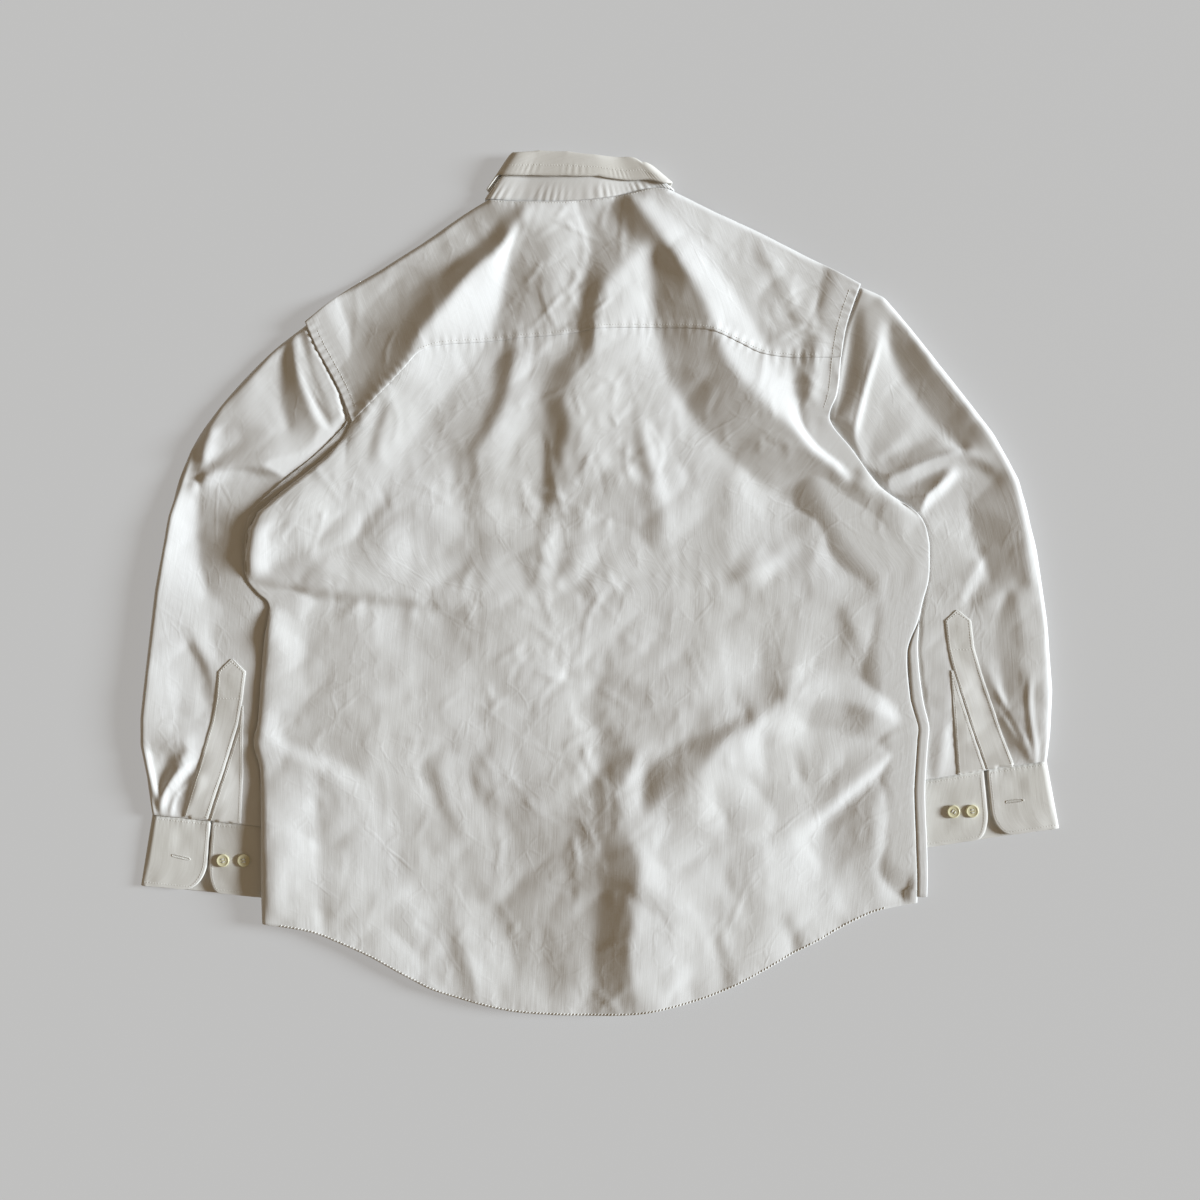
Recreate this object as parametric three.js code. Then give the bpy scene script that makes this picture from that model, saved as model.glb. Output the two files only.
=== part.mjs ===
// A long-sleeved button-up shirt laid on its front, back up, with both sleeves down beside the body.
// Millimetres, +Z up. +X is to the right as seen from above, +Y runs from the hem to the collar, and
// the floor is z = 0. Every piece of cloth is a thin wall spread over a grid of its middle points.
import * as THREE from "three";

// ---------------------------------------------------------------- driving sizes
const CLOTH = 1.2; // wall of a single cloth
const BAND = 1.7; // wall of the cuffs and the collar, which are two cloths and an interlining
const SEAM = 0.4; // gap that two sewn pieces keep
const YOKE_GAP = 0.6; // the same between the yoke and the back, whose facets tilt
const TURN = 1.4; // half the height of a sleeve's folded edge, between the middles of its walls
const CUFF_TURN = 1.7; // the same for a cuff
const CENTRE = -15; // x of the line down the middle of the front and the back

const STRIP_GAP = 0.7; // gap under the strips sewn on the sleeves
const LAYER_GAP = 0.6; // gap between panels that lie on each other
const COLLAR_LIFT = 2.6; // how far the fronts rise over the collar's points
const STAND_LIFT = 2.4; // how far the yoke rises over the front of the collar stand
const BUTTON = { radius: 5.8, thick: 2.4, segments: 12 };
const BUTTON_LIFT = BUTTON.thick + SEAM;
const SLEEVE_LIFT = 5.9; // how far the body rises over the sleeves and cuffs that lie under its edges
const SWELL = 3; // air under the back

// ---------------------------------------------------------------- outlines, a row for each station
const HEM = [
  { x: -324, y: -327 }, { x: -278, y: -335 }, { x: -250, y: -346 }, { x: -221, y: -359 },
  { x: -192, y: -375 }, { x: -163, y: -390 }, { x: -125, y: -402 }, { x: -86, y: -411 },
  { x: -45, y: -414.5 }, { x: 0, y: -415 }, { x: 38, y: -413 }, { x: 70, y: -407 },
  { x: 96, y: -400 }, { x: 125, y: -389 }, { x: 154, y: -374 }, { x: 182, y: -358 },
  { x: 211, y: -343 }, { x: 240, y: -327 }, { x: 269, y: -315 }, { x: 308, y: -308 },
];
// The body's sides from the hem to the armhole. The fronts reach past the back where they show.
const LEFT_SIDE = [
  { y: -327, back: -324, front: -320 }, { y: -285, back: -325, front: -322 },
  { y: -208, back: -325, front: -322 }, { y: -178, back: -326, front: -323 },
  { y: -153, back: -332, front: -329 }, { y: -132, back: -328, front: -325 },
  { y: -64, back: -323, front: -320 }, { y: -20, back: -318, front: -316 },
  { y: -9, back: -329, front: -326 }, { y: 5, back: -339, front: -338 },
  { y: 27, back: -340, front: -341 }, { y: 51, back: -337, front: -340 },
  { y: 68, back: -328, front: -335 }, { y: 86, back: -307, front: -318 },
  { y: 101, back: -288, front: -301 }, { y: 120, back: -264, front: -277 },
  { y: 141, back: -245, front: -255 }, { y: 156, back: -238, front: -243 },
];
const RIGHT_SIDE = [
  { y: -308, back: 308, front: 314 }, { y: -256, back: 306, front: 313 },
  { y: -199, back: 304, front: 311 }, { y: -151, back: 308, front: 314 },
  { y: -139, back: 309, front: 315 }, { y: -112, back: 301, front: 309 },
  { y: -64, back: 297, front: 304 }, { y: -36, back: 305, front: 306 },
  { y: -16, back: 310, front: 309 }, { y: 3, back: 315, front: 313 },
  { y: 27, back: 316, front: 314 }, { y: 43, back: 315, front: 313 },
  { y: 64, back: 307, front: 305 }, { y: 92, back: 269, front: 267 },
  { y: 128, back: 242, front: 240 }, { y: 158, back: 220, front: 219 },
];
const LEFT_ARMHOLE = [
  { x: -238, y: 156 }, { x: -250, y: 185 }, { x: -261, y: 206 }, { x: -272, y: 226 },
  { x: -283, y: 251 },
];
const RIGHT_ARMHOLE = [
  { x: 220, y: 158 }, { x: 227, y: 182 }, { x: 231, y: 218 }, { x: 236, y: 246 },
  { x: 243, y: 268 }, { x: 250, y: 287 },
];
const YOKE_SEAM = [
  { x: -238, y: 156 }, { x: -208, y: 185 }, { x: -187, y: 206 }, { x: -172, y: 222 },
  { x: -154, y: 228 }, { x: -115, y: 232 }, { x: -77, y: 236 }, { x: -38, y: 239 },
  { x: -5, y: 244 }, { x: 38, y: 246 }, { x: 86, y: 245 }, { x: 108, y: 242 },
  { x: 134, y: 231 }, { x: 154, y: 222 }, { x: 182, y: 218 }, { x: 231, y: 218 },
];
const LEFT_SHOULDER = [
  { x: -283, y: 251 }, { x: -245, y: 281 }, { x: -211, y: 302 }, { x: -173, y: 326 },
  { x: -139, y: 349 }, { x: -108, y: 368 },
];
const NECK = [
  { x: -108, y: 368 }, { x: -77, y: 366 }, { x: -38, y: 366 }, { x: 0, y: 369 },
  { x: 29, y: 374 }, { x: 52, y: 379 }, { x: 69, y: 377 },
];
const RIGHT_SHOULDER = [
  { x: 69, y: 377 }, { x: 96, y: 364 }, { x: 134, y: 347 }, { x: 173, y: 328 },
  { x: 211, y: 308 }, { x: 250, y: 287 },
];
// The front half of the collar's ring, from right to left; it lies under the yoke.
const FRONT_MIDDLE = { x: -18, y: 296, z: 4.2 };
const FRONT_NECK = [
  { x: 71, y: 377.6, z: 5.2 }, { x: 67, y: 366, z: 4.2 }, { x: 59, y: 345, z: 4.2 },
  { x: 32, y: 314, z: 4.2 },
  FRONT_MIDDLE, { x: -68, y: 310, z: 4.2 }, { x: -98, y: 340, z: 4.2 },
  { x: -106, y: 358, z: 4.2 }, { x: -110, y: 368.6, z: 5.2 },
];

// ---------------------------------------------------------------- folds
// A row is a ridge along its path, rise high, reaching left and right of the path as it runs.
const BACK_FOLDS = [
  { name: "left yoke ridge", rise: 15, left: 52, right: 24,
    path: [[-48, 385], [-91, 324], [-134, 286], [-168, 233], [-190, 180]] },
  { name: "left yoke ridge, lower", rise: 12, left: 44, right: 30,
    path: [[-150, 250], [-192, 156], [-221, 108], [-250, 70], [-345, 41]] },
  { name: "right yoke ridge", rise: 15, left: 46, right: 30,
    path: [[130, 190], [109, 248], [77, 308], [48, 347], [10, 390]] },
  { name: "right diagonal", rise: 11, left: 30, right: 46,
    path: [[120, 240], [150, 180], [190, 140], [240, 100], [300, 80]] },
  { name: "middle ridge", rise: 9, left: 34, right: 24,
    path: [[-48, 40], [-34, 128], [-29, 190], [-5, 228], [0, 281], [48, 340]] },
  { name: "inner ridge", rise: 7, left: 22, right: 26,
    path: [[-134, 90], [-96, 166], [-84, 250]] },
  { name: "short ridge", rise: 6, left: 14, right: 16, path: [[35, 200], [42, 130], [50, 84], [30, 60]] },
  { name: "waist crease, left", rise: 7, left: 26, right: 14,
    path: [[-350, 2], [-288, -4], [-230, -9], [-150, -20], [-100, -16]] },
  { name: "waist crease, right", rise: 5, left: 24, right: 16, path: [[60, -6], [120, 0], [160, 22]] },
  { name: "left pleat", rise: 7, left: 20, right: 22,
    path: [[-345, -150], [-276, -177], [-241, -195], [-190, -240]] },
  { name: "right peak", rise: 10, left: 20, right: 26,
    path: [[150, -90], [192, -104], [240, -112], [320, -142]] },
  { name: "right diagonal ridge", rise: 9, left: 34, right: 22,
    path: [[30, -230], [77, -194], [115, -156], [170, -110]] },
  { name: "lower ridge", rise: 7, left: 26, right: 30,
    path: [[34, -430], [30, -340], [39, -263], [18, -200], [40, -160]] },
  { name: "lower right crease", rise: 8, left: 30, right: 34,
    path: [[300, -160], [259, -189], [225, -225], [190, -280]] },
  { name: "hem wave, left", rise: 5, left: 22, right: 22, path: [[-150, -280], [-135, -340], [-118, -410]] },
  { name: "hem wave, middle", rise: 4, left: 22, right: 22, path: [[-50, -310], [-30, -360], [-8, -430]] },
  { name: "hem wave, right", rise: 4, left: 20, right: 24, path: [[170, -290], [185, -340], [200, -390]] },
];
const LEFT_SLEEVE_FOLDS = [
  { name: "shoulder ridge", rise: 7, left: 16, right: 18, path: [[-300, 240], [-285, 185], [-255, 130]] },
  { name: "upper roll", rise: 6, left: 30, right: 18, path: [[-300, 225], [-340, 180], [-375, 130]] },
  { name: "elbow ridge", rise: 8, left: 16, right: 20,
    path: [[-420, 60], [-385, 100], [-340, 115], [-280, 108]] },
  { name: "forearm ridge", rise: 6, left: 26, right: 14,
    path: [[-400, 80], [-414, 20], [-424, -60], [-428, -140]] },
];
const RIGHT_SLEEVE_FOLDS = [
  { name: "shoulder ridge", rise: 7, left: 16, right: 18, path: [[278, 262], [264, 214], [240, 130]] },
  { name: "outer roll", rise: 8, left: 16, right: 28,
    path: [[372, 120], [336, 176], [300, 235], [285, 262]] },
  { name: "elbow ridge", rise: 8, left: 18, right: 18,
    path: [[260, 88], [322, 111], [350, 118], [395, 95]] },
  { name: "forearm ridge", rise: 6, left: 16, right: 22,
    path: [[398, 70], [410, 10], [416, -60], [412, -120]] },
];

// ---------------------------------------------------------------- sleeves, cuffs and plackets
// armhole runs from the shoulder to the underarm, outer and inner from the armhole to the cuff,
// and end lies along the cuff. The cuff's fields are its four corners and the places of its ends,
// as shares of its width from its outer fold.
const SLEEVES = [
  {
    name: "left", folds: LEFT_SLEEVE_FOLDS, puff: 5, body: LEFT_SIDE,
    bodyArmhole: LEFT_ARMHOLE, outward: 1,
    armhole: [
      { x: -280, y: 251 }, { x: -267, y: 224 }, { x: -247, y: 183 }, { x: -235, y: 155 },
      { x: -240, y: 110 }, { x: -262, y: 62 },
    ],
    outer: [
      { x: -280, y: 251 }, { x: -317, y: 222 }, { x: -365, y: 171 }, { x: -394, y: 128 },
      { x: -415, y: 65 }, { x: -428, y: -7 }, { x: -437, y: -84 }, { x: -442, y: -130 },
      { x: -442, y: -156 }, { x: -436, y: -185 }, { x: -431, y: -222.4 },
    ],
    inner: [
      { x: -262, y: 62 }, { x: -297, y: 30 }, { x: -309, y: -20 }, { x: -312, y: -64 },
      { x: -316, y: -140 }, { x: -316, y: -178 }, { x: -314, y: -235.4 },
    ],
    cuff: {
      seamOuter: { x: -431, y: -223 }, seamInner: { x: -314, y: -236 },
      hemOuter: { x: -442, y: -291 }, hemInner: { x: -314, y: -304 },
      overlapEnd: 0.475, underlapEnd: 0.495, overlapRound: 0.17, underlapRound: 0.1,
    },
    placket: [
      { y: -73, left: -354, right: -352.5 }, { y: -85, left: -367, right: -340 },
      { y: -109, left: -369, right: -343 }, { y: -133, left: -373, right: -347 },
      { y: -179, left: -386, right: -361 }, { y: -222, left: -400, right: -376 },
    ],
    underlap: [
      { y: -118, left: -344, right: -342.5 }, { y: -140, left: -347.5, right: -343 },
      { y: -182, left: -360.5, right: -343 }, { y: -225, left: -375.5, right: -345.5 },
    ],
    buttons: [{ x: -363, y: -267 }, { x: -343, y: -267 }],
  },
  {
    name: "right", folds: RIGHT_SLEEVE_FOLDS, puff: 5, body: RIGHT_SIDE,
    bodyArmhole: RIGHT_ARMHOLE, outward: -1,
    armhole: [
      { x: 247, y: 287 }, { x: 240, y: 268 }, { x: 233, y: 246 }, { x: 228, y: 218 },
      { x: 224, y: 182 }, { x: 218, y: 150 }, { x: 228, y: 100 }, { x: 252, y: 52 },
    ],
    outer: [
      { x: 247, y: 287 }, { x: 273, y: 275 }, { x: 293, y: 252 }, { x: 341, y: 192 },
      { x: 379, y: 143 }, { x: 403, y: 99 }, { x: 420, y: 32 }, { x: 430, y: -36 },
      { x: 435, y: -103 }, { x: 433, y: -145 }, { x: 430, y: -170.6 },
    ],
    inner: [
      { x: 252, y: 52 }, { x: 284, y: 14 }, { x: 290, y: -36 }, { x: 286, y: -64 },
      { x: 290, y: -112 }, { x: 297, y: -145 }, { x: 297, y: -191.4 },
    ],
    cuff: {
      seamOuter: { x: 430, y: -171.2 }, seamInner: { x: 297, y: -192 },
      hemOuter: { x: 442, y: -236 }, hemInner: { x: 297, y: -257 },
      overlapEnd: 0.43, underlapEnd: 0.46, overlapRound: 0.14, underlapRound: 0.09,
    },
    placket: [
      { y: -26, left: 342.4, right: 343.6 }, { y: -36, left: 331, right: 356 },
      { y: -62, left: 334, right: 359 }, { y: -83, left: 339, right: 365 },
      { y: -139, left: 357, right: 384 }, { y: -171, left: 368.5, right: 396 },
    ],
    underlap: [
      { y: -84, left: 337, right: 338.8 }, { y: -117, left: 339, right: 349.2 },
      { y: -150, left: 341.5, right: 360.4 }, { y: -178, left: 343.5, right: 370.4 },
    ],
    buttons: [{ x: 340, y: -220 }, { x: 358, y: -219.5 }],
  },
];

const FRONT_BAND = { width: 34, top: 278, bottom: -396 };
const FRONT_BUTTONS = { count: 6, top: 222, spacing: 92 };
const COLLAR_HEIGHT = 30; // of the stand, from the neck ring to the fold
const COLLAR_TAPER = 0.26; // how much narrower the ring is at the fold
const COLLAR_TILT = 0.0038; // how much higher the collar stands on the left, for each millimetre
// The fall's section on the back, where it springs up, and on the front, where it lies flat.
// At its points the fall reaches COLLAR_POINT below the neck.
const FALL = [
  { backHeight: 32.6, backOut: 0, frontHeight: 32.6, frontOut: 0 },
  { backHeight: 34.6, backOut: 2.4, frontHeight: 34.4, frontOut: 1.6 },
  { backHeight: 34, backOut: 6, frontHeight: 31, frontOut: 3 },
  { backHeight: 29, backOut: 9, frontHeight: 20, frontOut: 3 },
  { backHeight: 18, backOut: 11, frontHeight: 6, frontOut: 3 },
];
const COLLAR_POINT = 30;
const FALL_WALL = 1.4;

const GRID = {
  back: { across: 32, along: 34 }, yoke: { across: 32, along: 9 }, front: { along: 22 },
  sleeve: { top: 10, bottom: 4, along: 23 }, band: { across: 3, along: 14 },
};
// The fronts' columns stand closest where they rise at the side and over the buttons.
const SIDE_TO_MIDDLE = [0, 0.04, 0.08, 0.12, 0.18, 0.34, 0.6, 0.8, 0.9, 0.96, 1];
const MIDDLE_TO_SIDE = [0, 0.1, 0.145, 0.22, 0.42, 0.66, 0.82, 0.88, 0.92, 0.96, 1];

// ---------------------------------------------------------------- helpers
const clamp = (value) => Math.min(1, Math.max(0, value));
const mix = (from, to, share) => from + (to - from) * share;
const smooth = (value) => clamp(value) ** 2 * (3 - 2 * clamp(value));
const rounded = (value) => Math.sqrt(1 - (1 - clamp(value)) ** 2);
const steps = (count) => Array.from({ length: count + 1 }, (_, step) => step / count);
const pairs = (rows) => rows.map((row) => [row.x, row.y]);
const column = (rows, name) => rows.map((row) => ({ x: row[name], y: row.y }));

/* The smooth line through a table's points, as a function of the share of its length. */
function line(...tables) {
  const rows = tables.flat().filter((row, index, all) => {
    return index === 0 || row.x !== all[index - 1].x || row.y !== all[index - 1].y;
  });
  const points = rows.map((row) => new THREE.Vector3(row.x, row.y, row.z ?? 0));
  const curve = new THREE.CatmullRomCurve3(points, false, "centripetal");
  return (share) => curve.getPointAt(clamp(share));
}

/* Lines joined end to end; each takes the share of the whole that ends at its stop. */
function joined(parts) {
  return (share) => {
    const index = parts.findIndex((part) => share <= part.stop + 1e-9);
    const begin = index === 0 ? 0 : parts[index - 1].stop;
    return parts[index].line((share - begin) / (parts[index].stop - begin));
  };
}

/* A four-sided panel spread between its edges: start and end run across it, the sides along it. */
function patch(start, end, sideA, sideB) {
  const corners = [start(0), start(1), end(0), end(1)];
  return (across, along) => {
    const point = start(across).multiplyScalar(1 - along);
    point.addScaledVector(end(across), along);
    point.addScaledVector(sideA(along), 1 - across);
    point.addScaledVector(sideB(along), across);
    point.addScaledVector(corners[0], -(1 - across) * (1 - along));
    point.addScaledVector(corners[1], -across * (1 - along));
    point.addScaledVector(corners[2], -(1 - across) * along);
    point.addScaledVector(corners[3], -across * along);
    return point;
  };
}

/* How far a point lies to the left of a path, and where along the path, as a share of its length. */
function besidePath(path, x, y) {
  let best = { distance: Infinity, travelled: 0 };
  let length = 0;
  for (let i = 1; i < path.length; i += 1) {
    const [ax, ay] = path[i - 1];
    const [dx, dy] = [path[i][0] - ax, path[i][1] - ay];
    const size = Math.hypot(dx, dy);
    const share = clamp(((x - ax) * dx + (y - ay) * dy) / size ** 2);
    const away = Math.hypot(x - ax - share * dx, y - ay - share * dy);
    if (away < Math.abs(best.distance) - 1e-9) {
      const side = dx * (y - ay) - dy * (x - ax) >= 0 ? 1 : -1;
      best = { distance: away * side, travelled: length + share * size };
    }
    length += size;
  }
  return { distance: best.distance, share: best.travelled / length };
}

/* The height that a table of folds gives a point; each fold tapers off over its ends. */
function foldHeight(folds, x, y) {
  const ENDS = 0.22;
  let height = 0;
  for (const fold of folds) {
    const { distance, share } = besidePath(fold.path, x, y);
    const width = distance > 0 ? fold.left : fold.right;
    const taper = smooth(share / ENDS) * smooth((1 - share) / ENDS);
    height += fold.rise * taper * (1 - smooth(Math.abs(distance) / width));
  }
  return height;
}

/* A wall of cloth: the grid's middle points moved half its thickness to both sides. In a ring, the
   last column joins the first. Nothing goes below the floor. */
function wall(grid, thickness, ring = false) {
  const rows = grid.length;
  const columns = grid[0].length;
  const last = columns - 1;
  const at = (r, c) => grid[r][ring ? (c + columns) % columns : c];
  const sides = [[], []];
  for (let r = 0; r < rows; r += 1) {
    for (let c = 0; c < columns; c += 1) {
      const across = at(r, ring ? c + 1 : Math.min(c + 1, last)).clone();
      across.sub(at(r, ring ? c - 1 : Math.max(c - 1, 0)));
      const along = at(Math.min(r + 1, rows - 1), c).clone().sub(at(Math.max(r - 1, 0), c));
      const normal = across.cross(along).normalize();
      sides.forEach((side, index) => {
        const point = at(r, c).clone().addScaledVector(normal, (0.5 - index) * thickness);
        side.push(point.x, point.y, Math.max(point.z, 0));
      });
    }
  }
  const count = rows * columns;
  const index = [];
  const quad = (a, b, c, d) => index.push(a, b, c, a, c, d);
  const outer = (r, c) => r * columns + (c % columns);
  const inner = (r, c) => count + outer(r, c);
  for (let c = 0; c < (ring ? columns : last); c += 1) {
    for (let r = 0; r < rows - 1; r += 1) {
      quad(outer(r, c), outer(r, c + 1), outer(r + 1, c + 1), outer(r + 1, c));
      quad(inner(r, c), inner(r + 1, c), inner(r + 1, c + 1), inner(r, c + 1));
    }
    quad(inner(0, c), inner(0, c + 1), outer(0, c + 1), outer(0, c));
    quad(outer(rows - 1, c), outer(rows - 1, c + 1), inner(rows - 1, c + 1), inner(rows - 1, c));
  }
  if (!ring) {
    for (let r = 0; r < rows - 1; r += 1) {
      quad(outer(r, 0), outer(r + 1, 0), inner(r + 1, 0), inner(r, 0));
      quad(inner(r, last), inner(r + 1, last), outer(r + 1, last), outer(r, last));
    }
  }
  const geometry = new THREE.BufferGeometry();
  geometry.setAttribute("position", new THREE.Float32BufferAttribute(sides.flat(), 3));
  geometry.setIndex(index);
  return geometry;
}

/* The wall of a panel: its patch raised to its heights. */
function panel(surface, size, height, shares = steps(size.across)) {
  const grid = steps(size.along).map((along) => shares.map((across) => {
    const point = surface(across, along);
    point.z = height(point.x, point.y);
    return point;
  }));
  return wall(grid, CLOTH);
}

// ---------------------------------------------------------------- materials and the group
const cotton = new THREE.MeshStandardMaterial({ color: 0xe9ebec, roughness: 0.72, metalness: 0 });
const warmCotton = new THREE.MeshStandardMaterial({ color: 0xded8cc, roughness: 0.75, metalness: 0 });
const shell = new THREE.MeshStandardMaterial({ color: 0xcdc8a5, roughness: 0.35, metalness: 0 });

const shirt = new THREE.Group();
function add(name, geometry, material = cotton, place = null) {
  const mesh = new THREE.Mesh(geometry, material);
  mesh.name = name;
  if (place) mesh.position.set(place.x, place.y, place.z);
  shirt.add(mesh);
}

// ---------------------------------------------------------------- heights of the layers
/* How far outside the body's edge a point lies beside one sleeve. */
function outsideBody(sleeve, x, y) {
  const sides = ["back", "front"].map((name) => {
    const edge = [...column(sleeve.body, name), ...sleeve.bodyArmhole];
    return besidePath(pairs(edge), x, y).distance * sleeve.outward;
  });
  return Math.min(...sides);
}

/* How much of its lift the body has over a sleeve: all of it above the sleeve, none further inside. */
function overSleeve(sleeve, x, y) {
  const RAMP = 26;
  const MARGIN = 16;
  const edge = [sleeve.cuff.hemInner, ...sleeve.inner.toReversed(), ...sleeve.armhole.toReversed()];
  const onSleeve = besidePath(pairs(edge), x, y).distance * sleeve.outward;
  const below = sleeve.cuff.hemInner.y - y;
  return smooth((onSleeve + MARGIN + RAMP) / RAMP) * (1 - smooth((below - MARGIN) / (2 * RAMP)));
}

/* How far a point is within the collar's round, from 1 inside to 0 outside. */
function byCollar(x, y) {
  const ROUND = { y: 325, radius: 88, widening: 1.25, ramp: 26 };
  const away = Math.hypot((x - CENTRE) / ROUND.widening, y - ROUND.y);
  return 1 - smooth((away - ROUND.radius) / ROUND.ramp);
}

/* Middle of the fronts: on the floor, but raised over the sleeves, the collar and the buttons. */
function frontHeight(x, y) {
  const sleeves = Math.max(...SLEEVES.map((sleeve) => overSleeve(sleeve, x, y)));
  const buttons = 1 - smooth((Math.abs(x - CENTRE) - FRONT_BAND.width / 2 - 1) / 24);
  const lift = Math.max(SLEEVE_LIFT * sleeves, BUTTON_LIFT * buttons, COLLAR_LIFT * byCollar(x, y));
  return CLOTH / 2 + lift;
}

/* What the right front's edge adds where it lies on the button band. */
function overlapHeight(x) {
  const onBand = 1 - smooth((Math.abs(x - CENTRE) - FRONT_BAND.width / 2 - 4) / 14);
  return (CLOTH + LAYER_GAP) * onBand;
}

/* Middle of the back and the yoke: a layer above the fronts, with the folds, which die out at the
   sewn sides and shoulders. */
const SEWN_EDGES = [
  pairs([...column(LEFT_SIDE, "back"), ...LEFT_ARMHOLE, ...LEFT_SHOULDER]),
  pairs([...column(RIGHT_SIDE, "back"), ...RIGHT_ARMHOLE, ...RIGHT_SHOULDER.toReversed()]),
];
function backHeight(x, y) {
  const fromEdge = Math.min(...SEWN_EDGES.map((edge) => Math.abs(besidePath(edge, x, y).distance)));
  const fromNeck = Math.abs(besidePath(pairs(NECK), x, y).distance);
  const folds = foldHeight(BACK_FOLDS, x, y) * mix(0.2, 1, smooth(fromNeck / 60));
  const layer = frontHeight(x, y) + CLOTH + LAYER_GAP + overlapHeight(x) + STAND_LIFT * byCollar(x, y);
  return layer + rounded(fromEdge / 26) * Math.max(0, SWELL + folds);
}

// ---------------------------------------------------------------- back, yoke and fronts
const seamLine = line(YOKE_SEAM);
const yokeEdge = (share) => seamLine(share).add(new THREE.Vector3(0, YOKE_GAP, 0));
const backRightEdge = line(column(RIGHT_SIDE, "back"), RIGHT_ARMHOLE.slice(0, 3));
add("back", panel(
  patch(line(HEM), seamLine, line(column(LEFT_SIDE, "back")), backRightEdge), GRID.back, backHeight));

const shoulders = joined([
  { line: line(LEFT_SHOULDER), stop: 12 / GRID.yoke.across },
  { line: line(NECK), stop: 22 / GRID.yoke.across },
  { line: line(RIGHT_SHOULDER), stop: 1 },
]);
const raised = (rows) => rows.map((row, index) => (index ? row : { x: row.x, y: row.y + YOKE_GAP }));
add("yoke", panel(
  patch(yokeEdge, shoulders, line(raised(LEFT_ARMHOLE)), line(raised(RIGHT_ARMHOLE.slice(2)))),
  GRID.yoke, backHeight));

const FRONT_HEM_RISE = 12; // the front tail is shorter than the back's
const NECK_OUTSET = 3; // the fronts' neck edge keeps clear of the collar's ring
const NECK_ROW = 18 / GRID.front.along; // where the middle edge turns into the neck edge
const LEFT_TAIL = { x: -320, y: -315 };
const LEFT_TIP = { x: -281, y: 247 };
const RIGHT_TAIL = { x: 314, y: -302 };
const RIGHT_TIP = { x: 248, y: 283 };
const bandLeft = CENTRE - FRONT_BAND.width / 2;
const bandRight = CENTRE + FRONT_BAND.width / 2;
const frontHem = HEM.map((row) => ({ x: row.x, y: row.y + FRONT_HEM_RISE }));
const frontHemMiddle = Math.min(...column(frontHem, "x").map((row) => row.y));
const leftHem = frontHem.filter((row) => row.x > LEFT_TAIL.x && row.x < bandLeft - NECK_OUTSET);
const rightHem = frontHem.filter((row) => row.x > bandRight && row.x < RIGHT_TAIL.x - 2 * NECK_OUTSET);
const inset = (rows, x, y) => rows.map((row) => ({ x: row.x + x, y: row.y + y }));

const leftNeck = [
  { x: bandLeft - SEAM, y: 297 }, { x: -72, y: 306 }, { x: -96, y: 326 },
  { x: NECK[0].x - NECK_OUTSET, y: 358 },
];
const leftMiddle = { x: leftNeck[0].x, y: frontHemMiddle };
add("left_front", panel(
  patch(
    line([LEFT_TAIL, ...leftHem, leftMiddle]),
    line([...inset(LEFT_SHOULDER.slice(0, -1), 2, -4), leftNeck.at(-1)]),
    line([LEFT_TAIL, ...column(LEFT_SIDE, "front").slice(1), ...LEFT_ARMHOLE.slice(1, -1), LEFT_TIP]),
    joined([
      { line: line([leftMiddle, leftNeck[0]]), stop: NECK_ROW },
      { line: line(leftNeck), stop: 1 },
    ])),
  GRID.front, frontHeight, SIDE_TO_MIDDLE));

const rightNeck = [
  { x: bandLeft + NECK_OUTSET, y: 288 }, { x: 34, y: 304 }, { x: 64, y: 340 },
  { x: NECK.at(-1).x + NECK_OUTSET + 2, y: 369 },
];
const rightMiddle = { x: rightNeck[0].x, y: frontHemMiddle };
add("right_front", panel(
  patch(
    line([rightMiddle, ...rightHem, RIGHT_TAIL]),
    line([rightNeck.at(-1), ...inset(RIGHT_SHOULDER.slice(1, -1), -1, -5), RIGHT_TIP]),
    joined([
      { line: line([rightMiddle, rightNeck[0]]), stop: NECK_ROW },
      { line: line(rightNeck), stop: 1 },
    ]),
    line([RIGHT_TAIL, ...column(RIGHT_SIDE, "front").slice(1), ...RIGHT_ARMHOLE.slice(1, -1), RIGHT_TIP])),
  GRID.front, (x, y) => frontHeight(x, y) + overlapHeight(x), MIDDLE_TO_SIDE));

add("front_placket", panel(
  (across, along) => new THREE.Vector3(
    mix(bandLeft, bandRight, across), mix(FRONT_BAND.bottom, FRONT_BAND.top, along), 0),
  GRID.band, frontHeight));

// ---------------------------------------------------------------- sleeves, cuffs and plackets
/* Middle of a sleeve's upper wall: it swells and folds clear of the body and of its own outer edge. */
function sleeveHeight(sleeve, x, y) {
  const clear = smooth((outsideBody(sleeve, x, y) - 7) / 20);
  const fromEdge = Math.abs(besidePath(pairs(sleeve.outer), x, y).distance);
  const rise = sleeve.puff + foldHeight(sleeve.folds, x, y);
  return CLOTH / 2 + 2 * TURN + rise * clear * rounded(fromEdge / 24);
}

/* A sleeve: a flattened tube, its lower wall on the floor. */
function sleeveTube(sleeve) {
  const end = line([sleeve.outer.at(-1), sleeve.inner.at(-1)]);
  const surface = patch(line(sleeve.armhole), end, line(sleeve.outer), line(sleeve.inner));
  const { top, bottom, along: rings } = GRID.sleeve;
  const INSET = 0.025; // share of the width that the folded edges take
  const upper = steps(top).map((share) => mix(INSET, 1 - INSET, share));
  const lower = steps(bottom).map((share) => mix(1 - INSET, INSET, share));
  const grid = steps(rings).map((along) => {
    const place = (across, height) => {
      const point = surface(across, along);
      point.z = height(point.x, point.y);
      return point;
    };
    const middle = () => CLOTH / 2 + TURN;
    return [
      ...upper.map((across) => place(across, (x, y) => sleeveHeight(sleeve, x, y))),
      place(1, middle),
      ...lower.map((across) => place(across, () => CLOTH / 2)),
      place(0, middle),
    ];
  });
  return wall(grid, CLOTH, true);
}

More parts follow.
